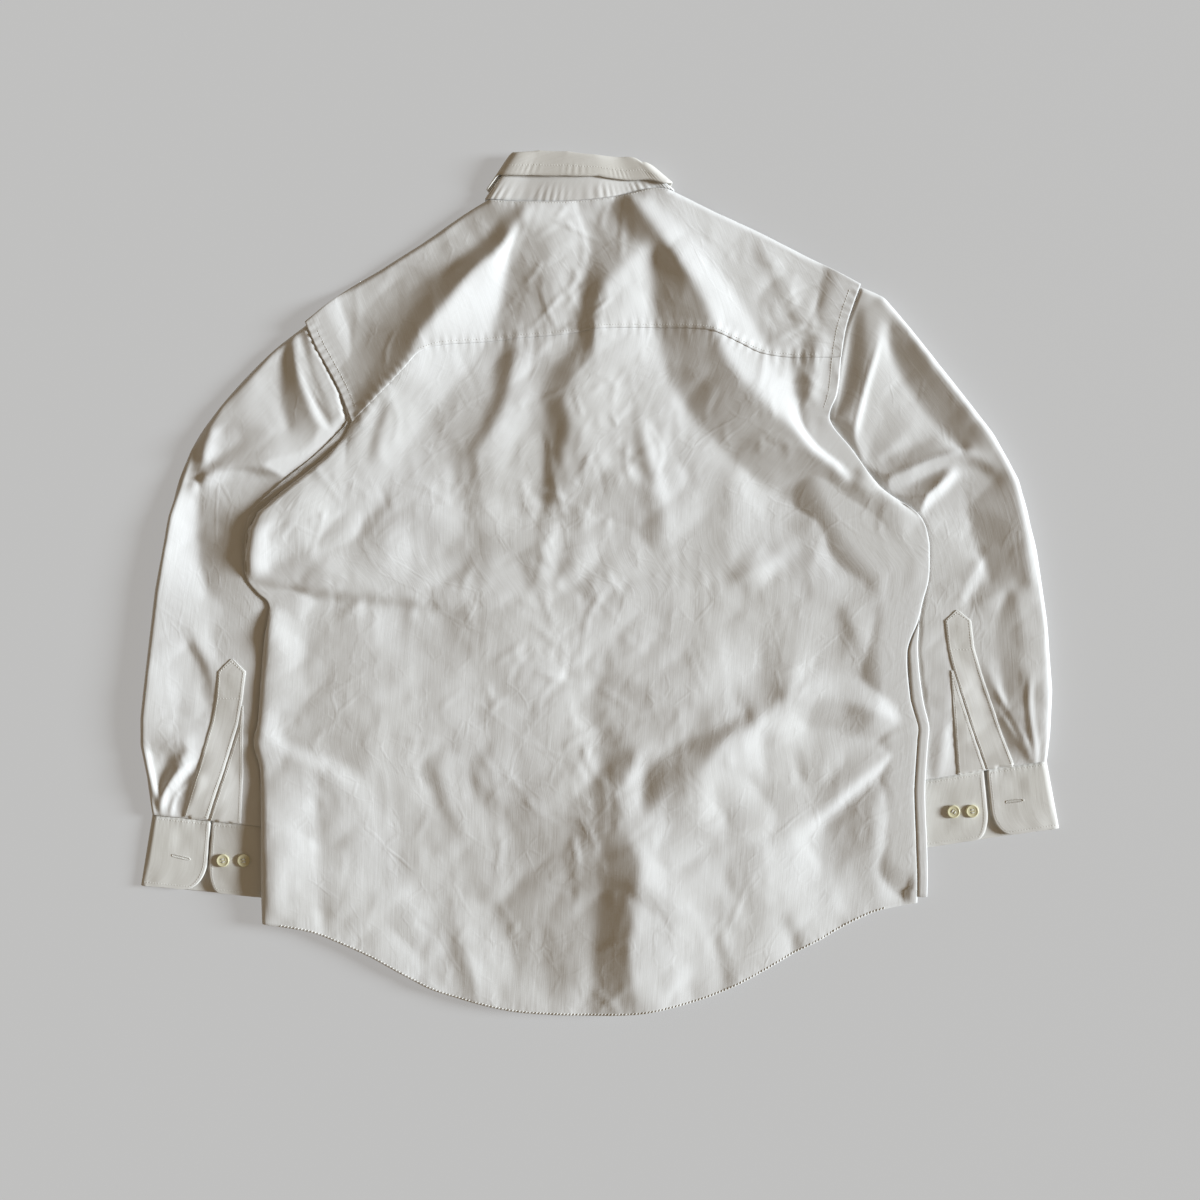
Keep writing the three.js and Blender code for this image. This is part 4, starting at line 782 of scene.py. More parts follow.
# Crests and valleys, each a row of places with their height over the flat cloth. Between them the
# cloth runs straight, in broad facets, so it creases only where they run.
yoke_creases = [
    # from the left of the neck down to the left side: valley, ridge and the foot of its slope
    [(-98, 344, 4), (-118, 322, 4), (-150, 300, 4), (-185, 280, 4.5), (-215, 255, 6), (-235, 225, 6.5),
     (-243, 200, 7), (-240, 172, 7)],
    [(-104, 330, 5), (-140, 300, 7), (-172, 268, 8.5), (-205, 232, 9.5), (-225, 195, 9), (-232, 175, 8.5)],
    [(-62, 370, 3), (-72, 356, 8), (-92, 322, 13), (-122, 298, 16), (-150, 262, 17), (-170, 240, 17),
     (-183, 215, 16), (-203, 192, 14), (-220, 170, 11.5), (-231, 150, 9), (-238, 132, 7.5),
     (-259, 106, 8), (-281, 89, 9.5), (-303, 72, 11.5), (-320, 56, 12.5), (-328, 42, 12.5),
     (-332, 26, 12), (-331, 10, 9)],
    [(-78, 345, 6), (-87, 318, 5), (-92, 290, 4), (-100, 250, 4), (-115, 220, 4), (-140, 188, 4),
     (-165, 158, 4), (-188, 125, 4), (-205, 95, 4), (-225, 65, 3.5), (-250, 45, 3.5), (-290, 28, 4),
     (-318, 15, 4.5)],
    [(-322, 44, 8), (-308, 52, 6.5), (-292, 50, 7), (-278, 58, 6.5)],
    [(-300, 66, 11.5), (-284, 62, 10), (-268, 66, 8)],
    [(-128, 358, 3), (-118, 345, 5.5), (-110, 328, 5)],
    # the middle, from the neck to the waist
    [(-55, 362, 4), (-48, 330, 7), (-48, 300, 8), (-45, 270, 8.5), (-48, 245, 8), (-60, 226, 7)],
    [(-10, 372, 3), (-10, 340, 4), (-12, 310, 4.5), (-14, 285, 5), (-18, 262, 6), (-20, 235, 6),
     (-30, 222, 5.5), (-45, 208, 4.5), (-55, 185, 4), (-50, 160, 4), (-52, 130, 3.5), (-55, 100, 3),
     (-55, 75, 2.5)],
    [(50, 335, 12), (35, 318, 11.5), (20, 300, 11), (5, 285, 11), (-3, 270, 11), (-5, 250, 11),
     (-5, 228, 10.5), (-12, 213, 10), (-28, 200, 9.5), (-34, 178, 9), (-30, 156, 8.5), (-33, 130, 8),
     (-40, 100, 7), (-46, 72, 5), (-50, 60, 3.5)],
    # the right ridge and the long valley on its left
    [(27, 372, 8), (45, 350, 12), (60, 328, 14), (80, 300, 16), (100, 270, 16), (108, 250, 16),
     (118, 222, 16.5), (130, 200, 16.5), (145, 185, 16), (165, 165, 15), (185, 150, 14), (205, 130, 13),
     (230, 110, 11.5), (255, 90, 10), (280, 75, 8.5), (300, 62, 7)],
    [(54, 320, 9), (52, 300, 7), (51, 270, 5), (54, 240, 4), (62, 210, 3.5), (80, 175, 3),
     (110, 135, 3), (150, 100, 3), (190, 75, 3), (230, 60, 3), (262, 50, 2.5)],
    [(45, 372, 5), (75, 345, 7), (105, 310, 7), (130, 278, 6), (150, 245, 5), (162, 224, 5)],
    # small folds beside the right armhole
    [(148, 322, 6), (163, 290, 5), (175, 262, 4), (187, 242, 4)],
    [(158, 318, 8), (172, 290, 7.5), (184, 265, 7), (196, 245, 6)],
    [(165, 222, 6), (181, 215, 5), (189, 178, 5), (197, 150, 5), (208, 131, 5), (228, 114, 5),
     (245, 98, 5)],
    [(204, 250, 6), (210, 228, 7.5), (204, 205, 8), (202, 186, 8), (213, 163, 7), (226, 145, 6.5),
     (236, 131, 5)],
    # thin ridges below the yoke
    [(-78, 240, 7), (-82, 220, 7.5), (-86, 195, 7.5), (-92, 170, 7), (-102, 150, 6.5),
     (-115, 132, 5.5), (-128, 115, 4.5)],
    [(-92, 236, 4.5), (-96, 210, 4), (-100, 190, 3.8), (-106, 168, 3.6), (-116, 148, 3.5),
     (-130, 128, 3.5)],
    [(-58, 215, 5), (-62, 190, 4), (-66, 160, 3.8), (-78, 135, 3.5), (-92, 112, 3.5)],
    [(-73, 142, 4.5), (-76, 120, 6), (-73, 95, 5.5), (-66, 72, 4.5), (-60, 62, 3)],
    [(36, 182, 5), (40, 150, 6.5), (46, 120, 7), (53, 97, 7), (48, 86, 6), (36, 76, 4.5)],
    [(28, 178, 4), (30, 150, 3.8), (36, 120, 3.5), (42, 100, 3.5)],
    [(46, 175, 4.5), (52, 140, 4), (60, 110, 3.5), (64, 90, 3)],
    [(-205, 168, 8), (-214, 148, 6), (-222, 120, 4)],
]
back_creases = [
    # the notch under the left armhole, and the tucked cloth under the right one
    [(-203, 172, 12), (-207, 158, 10), (-212, 140, 8), (-217, 118, 6)],
    [(-211, 172, 9), (-215, 158, 6.5), (-220, 140, 5), (-224, 118, 4)],
    [(196, 252, 6), (192, 236, 4), (196, 224, 4)], [(222, 236, 7), (214, 214, 6), (216, 196, 7)],
    # pockets at the middle of the waist
    [(-48, 60, 7), (-50, 40, 7.5), (-56, 20, 7), (-62, 2, 6)],
    [(-88, 62, 3), (-84, 35, 3), (-76, 12, 3), (-68, -4, 3)],
    [(-18, 75, 6), (-15, 50, 7), (-22, 25, 6.5), (-35, 6, 5)],
    [(-42, 75, 4), (-36, 50, 4), (-38, 25, 4), (-46, 6, 4)],
    [(58, 85, 6), (60, 62, 6), (50, 44, 4)],
    # the lip across the waist, steep below
    [(-337, 3, 5), (-300, -3, 7), (-250, -8, 8), (-200, -13, 7), (-170, -15, 6), (-155, -19, 5),
     (-120, -17, 4.5), (-90, -12, 4.5), (-60, -4, 5), (-25, 4, 5), (-14, 16, 4)],
    [(-325, -12, 2), (-300, -12, 2), (-250, -17, 3), (-200, -22, 2.5), (-160, -27, 2.5),
     (-120, -25, 3), (-90, -20, 3), (-60, -12, 3), (-25, -5, 3)],
    [(-230, -17, 8), (-245, -32, 8), (-262, -52, 7), (-275, -80, 5), (-283, -94, 3.5)],
    [(-284, -14, 4), (-278, -35, 4), (-284, -62, 4), (-284, -92, 4)],
    [(-312, -26, 7), (-312, -60, 7.5), (-312, -100, 7.5), (-318, -130, 7.5), (-324, -152, 8),
     (-317, -178, 7.5), (-314, -205, 7), (-313, -250, 7), (-313, -300, 7), (-313, -326, 5)],
    [(-178, -18, 7), (-184, -42, 3)],
    [(-196, -20, 3), (-190, -40, 2.6)],
    [(-310, -128, 6), (-255, -116, 6), (-225, -107, 5.5), (-190, -104, 4.5), (-160, -108, 3.5)],
    [(-306, -150, 3), (-280, -160, 2.5), (-250, -172, 2.5), (-225, -190, 2.5)],
    [(-330, -150, 6), (-300, -165, 7.5), (-262, -182, 6.5), (-240, -198, 5), (-222, -226, 3.5)],
    [(-272, -210, 2.5), (-270, -250, 2), (-268, -300, 2), (-268, -328, 1.5)],
    # from the waist to the hem, in the middle
    [(-154, -182, 4.5), (-149, -208, 4.5), (-125, -247, 3.5)],
    [(-162, -182, 2.5), (-158, -210, 2.2), (-134, -250, 2)],
    [(-115, -187, 5), (-96, -218, 4.5), (-85, -235, 4)],
    [(-125, -190, 2.8), (-108, -222, 2.4)],
    [(35, -165, 8), (25, -190, 10), (18, -208, 11), (22, -230, 12), (30, -250, 13), (39, -263, 13.5),
     (36, -285, 13), (32, -320, 12), (28, -352, 11), (32, -385, 9), (34, -414, 6)],
    [(0, -170, 4), (-8, -200, 5), (-5, -235, 6.5), (2, -262, 7), (0, -300, 6), (-5, -350, 4.5),
     (-8, -414, 3)],
    [(-130, -262, 2), (-120, -300, 2), (-95, -330, 2), (-80, -380, 1.5)],
    [(150, -135, 10), (130, -143, 10.5), (112, -160, 10.5), (97, -178, 11), (75, -195, 11),
     (52, -215, 11.5), (44, -226, 12)],
    [(140, -124, 6), (110, -140, 5), (85, -150, 4.5), (62, -162, 5), (44, -178, 6), (41, -205, 8)],
    [(150, -97, 5), (166, -102, 7), (179, -107, 10), (162, -120, 9.5), (151, -133, 10)],
    [(153, -140, 7), (155, -155, 4.5), (158, -178, 3.5)],
    [(166, -128, 8), (173, -145, 7.5), (184, -165, 5.5)],
    # the ridge to the right side, and the valley below it
    [(180, -107, 10), (200, -108, 9), (230, -112, 9), (260, -122, 9), (285, -131, 7), (299, -138, 4)],
    [(150, -85, 4), (200, -84, 3.5), (235, -88, 3.5), (256, -96, 3.5), (282, -112, 5)],
    [(195, -135, 4), (230, -142, 4), (265, -152, 4), (290, -158, 4)],
    [(300, -160, 4), (262, -188, 3.5), (232, -217, 3), (212, -240, 3), (220, -280, 3), (240, -314, 2)],
    [(295, -148, 6), (270, -172, 6.5), (240, -196, 6.5), (215, -218, 6), (180, -240, 6.5)],
    [(268, -200, 5), (265, -250, 5), (268, -300, 4)],
    [(288, -172, 4), (285, -200, 3.5), (284, -250, 3), (286, -302, 2.5)],
    [(110, -220, 8), (120, -260, 8), (110, -310, 7), (95, -370, 5), (88, -398, 3)],
    [(116, -338, 6.5), (124, -360, 5), (130, -384, 4)],
    [(108, -340, 4.5), (114, -362, 3), (120, -386, 1.5)],
    [(186, -324, 5), (194, -340, 4.5), (200, -350, 3)],
    [(176, -322, 3), (182, -340, 1.8), (186, -354, 1)],
    [(-146, -300, 2), (-138, -330, 3.5), (-126, -365, 4.5), (-114, -400, 3)],
    [(-158, -330, 1.5), (-142, -365, 1.2), (-132, -396, 1)],
    [(-46, -330, 5), (-38, -350, 5), (-26, -380, 4), (-14, -412, 3)],
    [(-56, -335, 2.5), (-58, -365, 2), (-48, -410, 1.5)],
    # the right side
    [(289, -44, 5.5), (286, -80, 5.5), (288, -112, 5.5)],
    [(292, -34, 4), (278, -55, 3.5), (262, -75, 3), (256, -94, 3.2)],
    [(238, -28, 6), (246, -50, 6), (257, -74, 4)],
    [(226, -28, 3), (234, -55, 2.8)],
    [(284, 50, 7), (277, 25, 6.5), (288, 6, 5)],
    [(266, 46, 3), (264, 25, 3)],
    [(249, 60, 5), (251, 35, 5.5), (247, 8, 4)],
    [(240, 60, 3), (241, 35, 2.6), (238, 10, 2.8)],
    [(303, 45, 6), (305, 25, 6.5), (302, -10, 6)],
    [(120, -3, 3), (134, 5, 5.5), (147, 13, 6.5), (160, 16, 6), (172, 32, 6), (190, 46, 5),
     (206, 60, 4)],
    [(122, -9, 2.5), (136, -3, 2.5), (150, 2, 2.5), (164, 4, 2.5), (176, 14, 2.5), (192, 32, 3)],
    [(60, 5, 3.2), (20, 8, 3.4), (60, 30, 3)],
]
# Short worn-in creases, closest together along the middle of the back and across the waist.
small_creases = []
rng = np.random.default_rng(7)
for cx, cy, spread_x, spread_y, count, rise, heading, turn in (
        (-20, 0, 30, 230, 110, 0.55, 90, 60), (0, 0, 190, 230, 160, 0.32, 100, 90),
        (-40, 60, 60, 60, 40, 0.5, 70, 50), (-30, 300, 35, 50, 40, 0.5, 80, 40),
        (-250, 60, 50, 50, 30, 0.45, 50, 40), (190, 220, 40, 60, 30, 0.5, 110, 40),
        (-10, -150, 60, 60, 50, 0.45, 60, 60), (0, -360, 170, 40, 40, 0.4, 80, 30)):
    for _ in range(count):
        x, y = rng.normal(cx, spread_x), rng.normal(cy, spread_y)
        angle = math.radians(rng.normal(heading, turn))
        half, bend = rng.uniform(8, 30), rng.normal(0, 0.16)
        dx, dy = math.cos(angle) * half, math.sin(angle) * half
        width = rng.uniform(3.5, 7)
        height = rise * rng.uniform(0.3, 1.3) * rng.choice([1, 1, -0.7])
        other_width = width * rng.uniform(0.6, 1.6)
        path = [(x - dx, y - dy), (x + dy * bend, y - dx * bend), (x + dx, y + dy)]
        small_creases.append((height, width, other_width, path))


LAYER = 1.3  # from the middle of one panel to that of the next
OVER_STAND = 2.4  # how far the yoke rises over the front of the collar stand


def back_layer(x, y):
    """Middle of the back and the yoke where they lie flat: one layer above the fronts."""
    return front_height(x, y) + LAYER + overlap_height(x) + OVER_STAND * by_collar(x, y)


turned_edges = [sides["left"]["back"], sides["right"]["back"], left_shoulder, right_shoulder]
puckered_seams = [  # with the rise, the pitch and the reach of their puckers
    (yoke_seam, 0.7, 9, 7), (hem, 0.6, 8, 6), (neck, 0.8, 6, 6),
    (sides["left"]["armhole"], 0.8, 7.5, 9), (sides["right"]["armhole"], 0.7, 9, 9)]


def back_height(x, y):
    """Middle of the back and the yoke with their folds, which die out at the sewn edges."""
    rim = [[(px, py, rise) for px, py in line] for line, rise in (
        (left_shoulder, 3), (right_shoulder, 3), (neck, 3), (sides["right"]["back"][:8], 1.5),
        (sides["left"]["armhole"], 5.5), (sides["right"]["armhole"], 3.5))]
    creases = yoke_creases + back_creases
    long_ones = [row for row in creases if math.dist(row[0][:2], row[-1][:2]) > 95]
    swell = 0.55 * between(long_ones + rim, x, y, 14) + 0.45 * between(creases + rim, x, y, 8)
    swell *= 1.2 + 0.35 * smooth((60 - y) / 120)
    swell += crumple(x, y, ((125, 4.6), (62, 2.5), (30, 1.0), (15, 0.3)), 300)
    drawn = sum(puckers(path, x, y, rise, pitch, reach, 80 + k)
                for k, (path, rise, pitch, reach) in enumerate(puckered_seams))
    return np.maximum(back_layer(x, y) + 0.4, 4.2 + swell) + folds(small_creases, x, y, 1.5) + drawn


def rolled(grid):
    """The panel with its sides turned down to the layer below in a small roll."""
    x, y, z = np.moveaxis(grid, -1, 0)
    layer = back_layer(x, y)
    from_edge = np.min([np.abs(beside(line, x, y)[0]) for line in turned_edges], 0)
    return np.dstack([x, y, layer + rounded(from_edge / 5) * np.maximum(0, z - layer)])


across = np.concatenate([[0, 0.002, 0.006, 0.012, 0.018, 0.025], np.linspace(0.033, 0.967, 200),
                         [0.975, 0.982, 0.988, 0.994, 0.998, 1]])
along = np.linspace(0, 1, 208)
face = spread(edge(hem), edge(yoke_seam), edge(sides["left"]["back"]),
              edge(sides["right"]["back"], sides["right"]["armhole"][1:3]), across, along)
x, y = face[..., 0], face[..., 1]
z = back_height(x, y)
back = sheet("back_cloth", rolled(np.dstack([x, y, z])), CLOTH, white_cotton)
sewn(back, ["back"])


# --------------------------------------------------------------------------------------------- yoke
# The yoke is a double piece of poplin across the shoulders. It is lapped on the back with a row of
# stitches and folds over the shoulders to the fronts.
LAP = 1.2  # how far it reaches over the back's upper edge
shoulders = joined((edge(left_shoulder), 12 / 32), (edge(neck), 22 / 32), (edge(right_shoulder), 1))
seam = edge(yoke_seam)
left_arm, right_arm = ([(path[0][0], path[0][1] - LAP), *path[1:]]
                       for path in (sides["left"]["armhole"], sides["right"]["armhole"][2:]))
face = spread(lambda share: seam(share) + np.array([0, -LAP]), shoulders, edge(left_arm),
              edge(right_arm), across, np.linspace(0, 1, 64))
x, y = face[..., 0], face[..., 1]
by_seam = 1 - smooth(beside(yoke_seam, x, y)[0] / 9)
z = back_height(x, y) + np.interp(x, [-185, -150], [0.2, 0.8]) * by_seam
yoke = sheet("yoke_cloth", rolled(np.dstack([x, y, z])), CLOTH, white_cotton)
sewn(yoke, ["yoke"])


# ------------------------------------------------------------------------------------------- collar
# The stand rises from the neck as a stiffened ring, and the fall turns down over it. The collar is
# closed by its button and leans up from the yoke.
COLLAR_HEIGHT = 30
LEAN = ([-110, -77, -38, 0, 38, 60, 71],  # how far the stand leans up the yoke, across the shirt
        [1.23, 1.36, 1.33, 1.15, 0.89, 0.75, 0.62])
FOLD = 34.8  # height of the fold between stand and fall
POINTS = 30  # how far the fall's points reach past its free edge
FALL = 1.4  # thickness
# The fall's cloth is painted a darker, warmer beige than the rest of the shirt: painted shade on the same
# white poplin.
collar_cotton = cloth_finish("collar_cotton", (0.80, 0.785, 0.75), (0.75, 0.73, 0.68), 0.5)
# The stand's cloth is painted lighter than the rest of the shirt: painted light on the same white poplin.
stand_cotton_painted_light = cloth_finish("stand_cotton_painted_light", (0.84, 0.835, 0.82), (0.79, 0.78, 0.76), 0.5)
front_neck = [(71, 377.6, 5.2), (67, 366, 4.2), (59, 345, 4.2), (32, 314, 4.2), (-18, 296, 4.2),
              (-68, 310, 4.2), (-98, 340, 4.2), (-106, 358, 4.2), (-110, 368.6, 5.2)]
neck_points = np.array(neck, float)
neck_z = back_layer(neck_points[:, 0], neck_points[:, 1]) + 0.8  # just above the yoke
ring = [(x, y + 1.2, z) for (x, y), z in zip(neck, neck_z)] + front_neck
ring_line = smooth_through(ring, closed=True, steps=24)
COLUMNS = 2 * len(ring)  # places round the stand, two for each of the ring's points
MIDDLE = 2 * (len(neck) + 4)  # the place of the middle of its front


def stand_point(place, height):
    """A point of the stand: round its ring by columns, and up from the neck."""
    spot = (np.asarray(place) / COLUMNS % 1) * len(ring_line)
    knots = np.arange(len(ring_line) + 1)
    line = np.vstack([ring_line, ring_line[:1]])
    x, y, z = (np.interp(spot, knots, line[:, k]) for k in range(3))
    y = y + height * np.interp(x, *LEAN)
    x = x + (CENTRE - x) * 0.26 * height / COLLAR_HEIGHT
    return np.stack([x, y, z], -1)


def stand_normal(place, height):
    """The direction outward from the stand."""
    round_it = stand_point(place + 0.4, height) - stand_point(place - 0.4, height)
    up = stand_point(place, height + 1) - stand_point(place, height - 1)
    normal = np.cross(round_it, up)
    return normal / np.linalg.norm(normal, axis=-1, keepdims=True)


places, heights = np.meshgrid(np.linspace(0, COLUMNS, 321)[:-1], np.linspace(0, COLLAR_HEIGHT, 16))
stand_grid = stand_point(places, heights)
wave = 1 + np.cos(places * 14 + 2.5 * np.sin(places * 1.7))
drawn = (0.19 + 0.13 * np.sin(places * 2.3)) * np.exp(-((heights - 3) / 6) ** 2) * wave
stand_grid += stand_normal(places, heights) * drawn[..., None]
stand = sheet("collar_stand_cloth", stand_grid, BAND, stand_cotton_painted_light, ring=True)
sewn(stand, ["collar_stand"])

# The fall's section: how far up and how far out it is at the back, and the same at the front.
section = smooth_through([(32.6, 0, 32.6, 0), (34.8, 1.3, 34.4, 1.4), (34.2, 3.0, 31, 2.8),
                          (28, 3.6, 20, 3), (18, 3.2, 6, 3)], steps=6)
places = np.concatenate([[MIDDLE + 0.45], MIDDLE + np.arange(0.7, COLUMNS - 0.5, 0.1),
                         [MIDDLE + COLUMNS - 0.45]])
fall_grid = []
for index, (back_up, back_out, front_up, front_out) in enumerate(section):
    normal = stand_normal(places, np.zeros(len(places)))
    backness = smooth((normal[:, 2] - 0.2) / 0.6)
    from_middle = np.minimum(places - MIDDLE, MIDDLE + COLUMNS - places)
    reach = POINTS * (1 - smooth(from_middle / 6)) * (index / (len(section) - 1)) ** 4
    deeper = np.interp(stand_point(places, np.zeros(len(places)))[:, 0], [0, 40, 71], [1, 1.45, 1.7])
    height = front_up + (FOLD - (FOLD - back_up) * deeper - front_up) * backness - reach
    out = front_out + (back_out - front_out) * backness
    out = out * (1 + 0.5 * (1 - normal[:, 2] ** 2))
    fall_grid.append(stand_point(places, height) + stand_normal(places, height) * out[:, None])
fall_grid = np.array(fall_grid)
down = np.linspace(0, 1, len(fall_grid))[:, None]
uneven = soft_noise(fall_grid.shape[:2], 22, 91)
pucker = 0.09 * (1 + np.sin(places * 2.1)) * np.exp(-((down - 0.9) / 0.08) ** 2)
fall_grid[..., 2] += 0.8 * uneven + pucker * np.cos(places * 17 + 6 * uneven)
fall = sheet("collar_fall_cloth", fall_grid, FALL, collar_cotton)
sewn(fall, ["collar_fall"])


# ------------------------------------------------------------------------------------------ buttons
# Eleven sewn-through buttons of cream plastic: two on each cuff, six down the front band and one on
# the collar stand. Each has a rolled rim, a dished face, four holes and two passes of thread.
def spotted(name, sources, spots):
    """Copies of an object at a row of spots, each turned its own way, as one plain mesh."""
    tree, given, gives = new_group(
        name, "GeometryNodeTree",
        {"Spots": "Geometry", "Copied": "Object", "Finish": "Material", "Seed": "Int"},
        {"Copies": "Geometry"})
    copied = node(tree, "GeometryNodeObjectInfo", {"Object": given["Copied"]})
    turned = node(tree, "FunctionNodeRandomValue",
                  {"Min": (0, 0, 0), "Max": (0, 0, 1.5), "Seed": given["Seed"]}, data_type="FLOAT_VECTOR")
    put = node(tree, "GeometryNodeInstanceOnPoints",
               {"Points": given["Spots"], "Instance": copied.outputs["Geometry"],
                "Rotation": turned.outputs[0]})
    real = node(tree, "GeometryNodeRealizeInstances", {"Geometry": put.outputs[0]})
    finish = node(tree, "GeometryNodeSetMaterial",
                  {"Geometry": real.outputs[0], "Material": given["Finish"]})
    tree.links.new(finish.outputs[0], gives.inputs[0])
    made = []
    for label, mesh, material in sources:
        template = placed(label + "_one", mesh)
        places = bpy.data.meshes.new(label + "_places")
        places.from_pydata([tuple(v * MM for v in spot) for spot in spots], [], [])
        made.append(finished(label, places, tree, {"Copied": template, "Finish": material, "Seed": 4}))
        bpy.data.objects.remove(template)
    return made


def finished(name, mesh, tree, inputs):
    """A plain mesh piece made from a start mesh by a node tree with these inputs."""
    holder = placed(name + "_start", mesh)
    modifier = holder.modifiers.new(name, "NODES")
    modifier.node_group = tree
    for socket in tree.interface.items_tree:
        if socket.item_type == "SOCKET" and socket.in_out == "INPUT" and socket.name in inputs:
            modifier[socket.identifier] = inputs[socket.name]
    graph = bpy.context.evaluated_depsgraph_get()
    plain = bpy.data.meshes.new_from_object(holder.evaluated_get(graph), depsgraph=graph)
    bpy.data.objects.remove(holder)
    plain.name = name
    return placed(name, plain)


def small_finish(name, light, dark, grain, rough, bump):
    """A finish with an uneven tone and a fine grain."""
    material, tree, surface, mix, relief = two_toned(name, light, dark, rough)
    spot = node(tree, "ShaderNodeTexCoord")
    patches = stretched_noise(tree, spot.outputs["Object"], (grain, grain, grain), 3)
    feed(tree, mix.inputs[0], patches)
    feed(tree, relief.inputs["Height"], patches)
    relief.inputs["Distance"].default_value = bump
    return material


cream = small_finish("cream_button", (0.80, 0.76, 0.53), (0.70, 0.65, 0.41), 260, 0.3, 0.00003)
thread = small_finish("white_thread", (0.84, 0.83, 0.80), (0.68, 0.66, 0.61), 2600, 0.7, 0.0001)
THICK, SPOKES = 2.4, 48
HOLE_AT, HOLE_DEPTH = 1.35, 1.3  # of the four holes, from the middle lines and down
# The button's section from its middle to its foot: how far out, and how far up as a share of THICK.
profile = [(0.26 * k, 0.84) for k in range(1, 13)] + [
    (3.5, 0.84), (3.9, 0.85), (4.3, 0.88), (4.7, 0.94), (5.1, 0.99), (5.5, 1.0), (5.8, 0.96),
    (6.1, 0.84), (6.25, 0.62), (6.22, 0.35), (6.0, 0.12), (5.7, 0.0)]
points, faces = [(0, 0, THICK * 0.84)], []
for out, up in profile:
    for k in range(SPOKES):
        a = 2 * math.pi * (k + 0.5) / SPOKES
        x, y = out * math.cos(a), out * math.sin(a)
        hole = math.hypot(abs(x) - HOLE_AT, abs(y) - HOLE_AT)
        points.append((x, y, THICK * up - HOLE_DEPTH * float(smooth((0.95 - hole) / 0.4)) * (out < 3.4)))
points.append((0, 0, 0))
last = 1 + (len(profile) - 1) * SPOKES  # first point of the last ring
for k in range(SPOKES):
    n = (k + 1) % SPOKES
    faces.append((0, 1 + k, 1 + n))
    for a in range(1, last, SPOKES):
        faces.append((a + k, a + SPOKES + k, a + SPOKES + n, a + n))
    faces.append((len(points) - 1, last + n, last + k))
button_mesh = bpy.data.meshes.new("button")
button_mesh.from_pydata([tuple(v * MM for v in p) for p in points], [], faces)
button_mesh.polygons.foreach_set("use_smooth", np.ones(len(faces), bool))
pair = bmesh.new()  # of passes of thread through the holes
for side in (-1, 1):
    for vertex in bmesh.ops.create_icosphere(pair, subdivisions=2, radius=0.5 * MM)["verts"]:
        x, y, z = vertex.co
        vertex.co = (x * 4.2, y * 1.3 + side * HOLE_AT * MM, z * 0.9 + 2.1 * MM)
pair_mesh = bpy.data.meshes.new("passes")
pair.to_mesh(pair_mesh)
pair_mesh.polygons.foreach_set("use_smooth", np.ones(len(pair_mesh.polygons), bool))
spots = {f"{side}_cuff_button_{k + 1}": (x, y, CUFF_TOP + BAND / 2 + 0.5)
         for side, pairs in (("left", [(-363, -267), (-343, -267)]),
                             ("right", [(340, -220), (358, -219.5)]))
         for k, (x, y) in enumerate(pairs)}
spots.update({f"front_button_{k + 1}": (CENTRE, 222 - 92 * k, 0) for k in range(6)})
spots["collar_button"] = (-18, 296 + COLLAR_HEIGHT / 2, 0)
buttons, passes = spotted(
    "buttons", [("buttons", button_mesh, cream), ("button_threads", pair_mesh, thread)], spots.values())
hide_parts(*spots)
for piece in (buttons, passes):
    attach(piece, "root")


# ------------------------------------------------------------------------------------------- sewing
# Lockstitch in white thread holds every seam: one row along the yoke, the armholes, the collar and
# the edges of the cuffs and plackets, and a close overcast on the rolled hem and the buttonholes.
stitches, given, gives = new_group(
    "stitches", "GeometryNodeTree",
    {"Path": "Geometry", "Pitch": "Float", "Length": "Float", "Width": "Float", "Height": "Float",
     "Tilt": "Float", "Thread": "Material"},
    {"Stitches": "Geometry"})
curve = node(stitches, "GeometryNodeMeshToCurve", {"Mesh": given["Path"]})
even = node(stitches, "GeometryNodeResampleCurve",
            {"Curve": curve.outputs[0], "Length": given["Pitch"]}, mode="LENGTH")
bead = node(stitches, "GeometryNodeMeshIcoSphere", {"Radius": 0.5, "Subdivisions": 1})
way = node(stitches, "GeometryNodeInputTangent")
turn = node(stitches, "FunctionNodeAlignRotationToVector", {"Vector": way.outputs[0]}, axis="X")
size = node(stitches, "ShaderNodeCombineXYZ",
            {"X": given["Length"], "Y": given["Width"], "Z": given["Height"]})
put = node(stitches, "GeometryNodeInstanceOnPoints",
           {"Points": even.outputs[0], "Instance": bead.outputs[0], "Rotation": turn.outputs[0],
            "Scale": size.outputs[0]})
stray = node(stitches, "FunctionNodeRandomValue", {2: -0.1, 3: 0.1, "Seed": 6}, data_type="FLOAT")
lean = maths(stitches, "ADD", given["Tilt"], stray.outputs[1])
spin = node(stitches, "ShaderNodeCombineXYZ", {"Z": lean})
leant = node(stitches, "GeometryNodeRotateInstances",
             {"Instances": put.outputs[0], "Rotation": spin.outputs[0], "Local Space": True})
real = node(stitches, "GeometryNodeRealizeInstances", {"Geometry": leant.outputs[0]})
shaded = node(stitches, "GeometryNodeSetShadeSmooth", {"Geometry": real.outputs[0]})
finish = node(stitches, "GeometryNodeSetMaterial",
              {"Geometry": shaded.outputs[0], "Material": given["Thread"]})
stitches.links.new(finish.outputs[0], gives.inputs[0])


def row_of_stitches(name, lines, pitch=2.7, length=2.1, width=0.55, height=0.5, tilt=0.0):
    """Stitches along lines of points, as one piece; their sizes are in millimetres."""
    points = np.vstack(lines)
    ends = np.cumsum([len(line) for line in lines])
    edges = [(k, k + 1) for k in range(len(points) - 1) if k + 1 not in ends]
    mesh = bpy.data.meshes.new(name)
    mesh.from_pydata((points * MM).tolist(), edges, [])
    piece = finished(name, mesh, stitches, {
        "Pitch": pitch * MM, "Length": length * MM, "Width": width * MM,
        "Height": height * MM, "Tilt": tilt, "Thread": thread})
    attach(piece, "root")


def shifted(path, away):
    """A path moved to its left by a distance."""
    line = smooth_through(path, steps=8)
    step = np.gradient(line, axis=0)
    step /= np.linalg.norm(step, axis=1, keepdims=True)
    return line + away * np.stack([-step[:, 1], step[:, 0]], 1)


